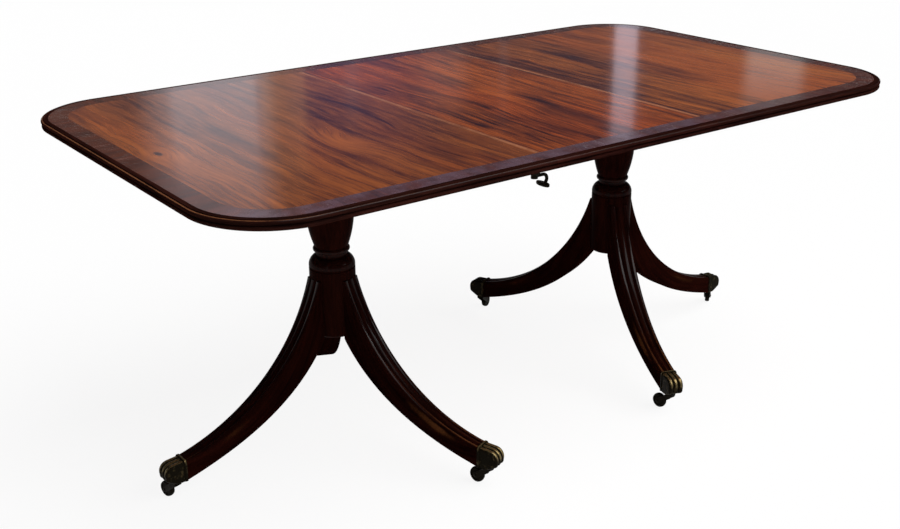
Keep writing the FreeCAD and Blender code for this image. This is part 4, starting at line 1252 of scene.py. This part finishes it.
# Windows and pale walls that the top mirrors: name, span across, heights, radiance, softness and shade
BLUE, VIOLET = (0.92, 0.95, 1.05), (0.80, 0.55, 1.45)
WARM, BROWN, ROSE = (1.0, 0.62, 0.40), (1.0, 0.50, 0.20), (1.05, 0.72, 0.66)
WINDOWS = (
    ("far_window_left", (-2.2, -1.50), (1.1, 3.6), 0.30, (0.1, 0.06, 0.02, 0.6), BLUE),
    ("far_window_left_haze", (-2.5, -1.34), (1.1, 5.2), 0.44, (0.30, 0.18, 0.02, 0.85), BLUE),
    ("far_window_left_dim", (-1.50, -1.14), (1.1, 3.4), 0.30, (0.05, 0.12, 0.02, 0.5), BROWN),
    ("far_wall_left", (-4.6, -0.9), (1.1, 5.2), 0.075, (0.3, 0.2, 0.05, 0.4), WARM),
    ("far_wall_middle", (-1.6, 0.1), (1.1, 3.1), 0.085, (0.3, 0.5, 0.05, 0.5), VIOLET),
    ("far_window_middle", (-0.45, 0.12), (1.75, 2.4), 0.15, (0.6, 0.3, 0.3, 0.3), ROSE),
    ("far_frame_left", (-0.90, -0.74), (1.1, 2.7), 0.06, (0.4, 0.4, 0.02, 0.4), BLUE),
    ("far_frame_right", (0.28, 0.38), (1.1, 2.7), 0.05, (0.4, 0.4, 0.02, 0.4), BLUE),
    ("far_window_slit", (1.165, 1.355), (1.1, 2.8), 0.74, (0.05, 0.15, 0.02, 0.15), (0.94, 0.90, 1.08)),
    ("far_window_right", (2.13, 2.68), (1.1, 2.5), 0.36, (0.2, 0.2, 0.05, 0.3), (0.9, 1.0, 1.0)),
)
# Width of the camera's sensor in millimetres, and how far it sees in metres
SENSOR_WIDTH, VIEW_RANGE = 36.0, 200.0
# Floor's radius, and the outer radius, height and number of sides of its rim
FLOOR_RADIUS, RIM_RADIUS, RIM_HEIGHT, RIM_SIDES = 60.0, 72.0, 8.0, 64
# Share of the floor's own glow in what is seen of it
GLOW_SHARE = 0.9
# The sky's strength at the horizon, its drop higher up, and the heights between which it drops
SKY_STRENGTH, SKY_DROP, SKY_HEIGHTS = 0.085, 0.05, (0.17, 0.33)


class TABLE_OT_stage(bpy.types.Operator):
    """Set up the floor, the lights and the camera"""

    bl_idname = "table.stage"
    bl_label = "Stage"

    def execute(self, context):
        self.add_floor(context.scene.table_stage)
        self.add_lights(context.scene)
        self.add_camera(context.scene)
        context.scene.view_settings.view_transform = "Standard"
        return {"FINISHED"}

    def add_floor(self, stage):
        """Round white floor with a raised rim as the backdrop for low views.

        It keeps a soft shadow: it glows for what looks at it and is plain paint for other light.
        """
        turn = np.linspace(0, 2 * math.pi, RIM_SIDES, endpoint=False)
        ring = np.stack([np.cos(turn), np.sin(turn), 0 * turn], axis=-1)
        points = np.concatenate([FLOOR_RADIUS * ring, RIM_RADIUS * ring + np.array([0, 0, RIM_HEIGHT])])
        here = np.arange(RIM_SIDES)
        after = (here + 1) % RIM_SIDES
        rim = np.stack([here, RIM_SIDES + here, RIM_SIDES + after, after], axis=-1)
        mesh = bpy.data.meshes.new("floor")
        mesh.from_pydata(points.tolist(), [], [here.tolist(), *rim.tolist()])
        floor = add_object("floor", mesh)
        material, tree, shader = new_material("floor_paint")
        shader.inputs["Base Color"].default_value = (*stage.floor, 1)
        shader.inputs["Roughness"].default_value = 0.9
        shader.inputs["Specular IOR Level"].default_value = 0.0
        path = tree.add("ShaderNodeLightPath")
        seen = tree.math("MAXIMUM", path.outputs["Is Camera Ray"], path.outputs["Is Glossy Ray"])
        seen = tree.math("MAXIMUM", seen, path.outputs["Is Transmission Ray"])
        share = tree.math("MULTIPLY", seen, GLOW_SHARE)
        glow = tree.add("ShaderNodeEmission", {"Color": (1, 1, 1, 1), "Strength": 1.0})
        paint = tree.add("ShaderNodeMixShader", {0: share, 1: shader.outputs[0], 2: glow.outputs[0]})
        tree.link(paint.outputs[0], material.node_tree.nodes["Material Output"].inputs["Surface"])
        mesh.materials.append(material)

    def add_lights(self, scene):
        """Sky that is brightest at the horizon, a broad sun, two lamps in front and the far windows."""
        world = bpy.data.worlds.new("studio")
        world.use_nodes = True
        tree = Tree(world.node_tree)
        sky = world.node_tree.nodes["Background"]
        sky.inputs["Color"].default_value = (*scene.table_stage.sky, 1)
        height = tree.split(tree.add("ShaderNodeTexCoord").outputs["Generated"])[2]
        strength = tree.weighted((tree.ramp(height, *SKY_HEIGHTS), -SKY_DROP), (1.0, SKY_STRENGTH))
        tree.link(strength, sky.inputs["Strength"])
        scene.world = world
        sun_light("soft_sun", (0.35, -0.4, 0.8), 60.0, 3.5)
        area_light("front_left", (-3.6, -2.2, 1.6), (0, 0, 0.4), (0.3, 1.6), 4.0)
        area_light("front_right", (2.8, -2.9, 2.3), (0, 0, 0.5), (3.0, 0.2), 20.0)
        for index, window in enumerate(WINDOWS):
            window_light(*window, distance=WINDOW_DISTANCE + WINDOW_STEP * index)

    def add_camera(self, scene):
        """Camera whose axes come from its yaw, pitch and roll."""
        stage = scene.table_stage
        data = bpy.data.cameras.new("camera")
        data.lens = stage.lens
        data.sensor_width = SENSOR_WIDTH
        data.clip_end = VIEW_RANGE
        camera = add_object("camera", data)
        yaw, pitch, roll = stage.camera_yaw, stage.camera_pitch, stage.camera_roll
        ahead = Vector((math.cos(pitch) * math.sin(yaw), math.cos(pitch) * math.cos(yaw), -math.sin(pitch)))
        right = Vector((math.cos(yaw), -math.sin(yaw), 0))
        down = ahead.cross(right)
        tilted_right = right * math.cos(roll) + down * math.sin(roll)
        tilted_down = down * math.cos(roll) - right * math.sin(roll)
        turn = Matrix((tilted_right, -tilted_down, -ahead)).transposed()
        camera.matrix_world = Matrix.Translation(stage.camera_place) @ turn.to_4x4()
        scene.camera = camera


# Panel and registration

class TABLE_PT_panel(bpy.types.Panel):
    """Lists the table's settings and the steps that build it"""

    bl_idname = "TABLE_PT_panel"
    bl_label = "Pedestal table"
    bl_space_type = "VIEW_3D"
    bl_region_type = "UI"
    bl_category = "Table"

    def draw(self, context):
        for operator in OPERATORS:
            self.layout.operator(operator.bl_idname)
        for name in SETTINGS:
            group = getattr(context.scene, name)
            box = self.layout.box()
            for key in group.__annotations__:
                box.prop(group, key)


OPERATORS = (
    TABLE_OT_boards, TABLE_OT_crossbands, TABLE_OT_edges, TABLE_OT_columns, TABLE_OT_legs, TABLE_OT_toe_caps,
    TABLE_OT_casters, TABLE_OT_catches, TABLE_OT_underframe, TABLE_OT_stage,
)
SETTINGS = {
    "table_top": TopSettings, "table_column": ColumnSettings, "table_pedestal": PedestalSettings,
    "table_finish": FinishSettings, "table_stage": StageSettings,
}


def register():
    for group in SETTINGS.values():
        bpy.utils.register_class(group)
    for name, group in SETTINGS.items():
        setattr(bpy.types.Scene, name, PointerProperty(type=group))
    for operator in OPERATORS:
        bpy.utils.register_class(operator)
    bpy.utils.register_class(TABLE_PT_panel)


def unregister():
    bpy.utils.unregister_class(TABLE_PT_panel)
    for operator in reversed(OPERATORS):
        bpy.utils.unregister_class(operator)
    for name, group in SETTINGS.items():
        delattr(bpy.types.Scene, name)
        bpy.utils.unregister_class(group)


def main():
    register()
    bpy.ops.table.boards()
    bpy.ops.table.crossbands()
    bpy.ops.table.edges()
    bpy.ops.table.columns()
    bpy.ops.table.legs()
    bpy.ops.table.toe_caps()
    bpy.ops.table.casters()
    bpy.ops.table.catches()
    bpy.ops.table.underframe()
    bpy.ops.table.stage()


if __name__ == "__main__":
    main()
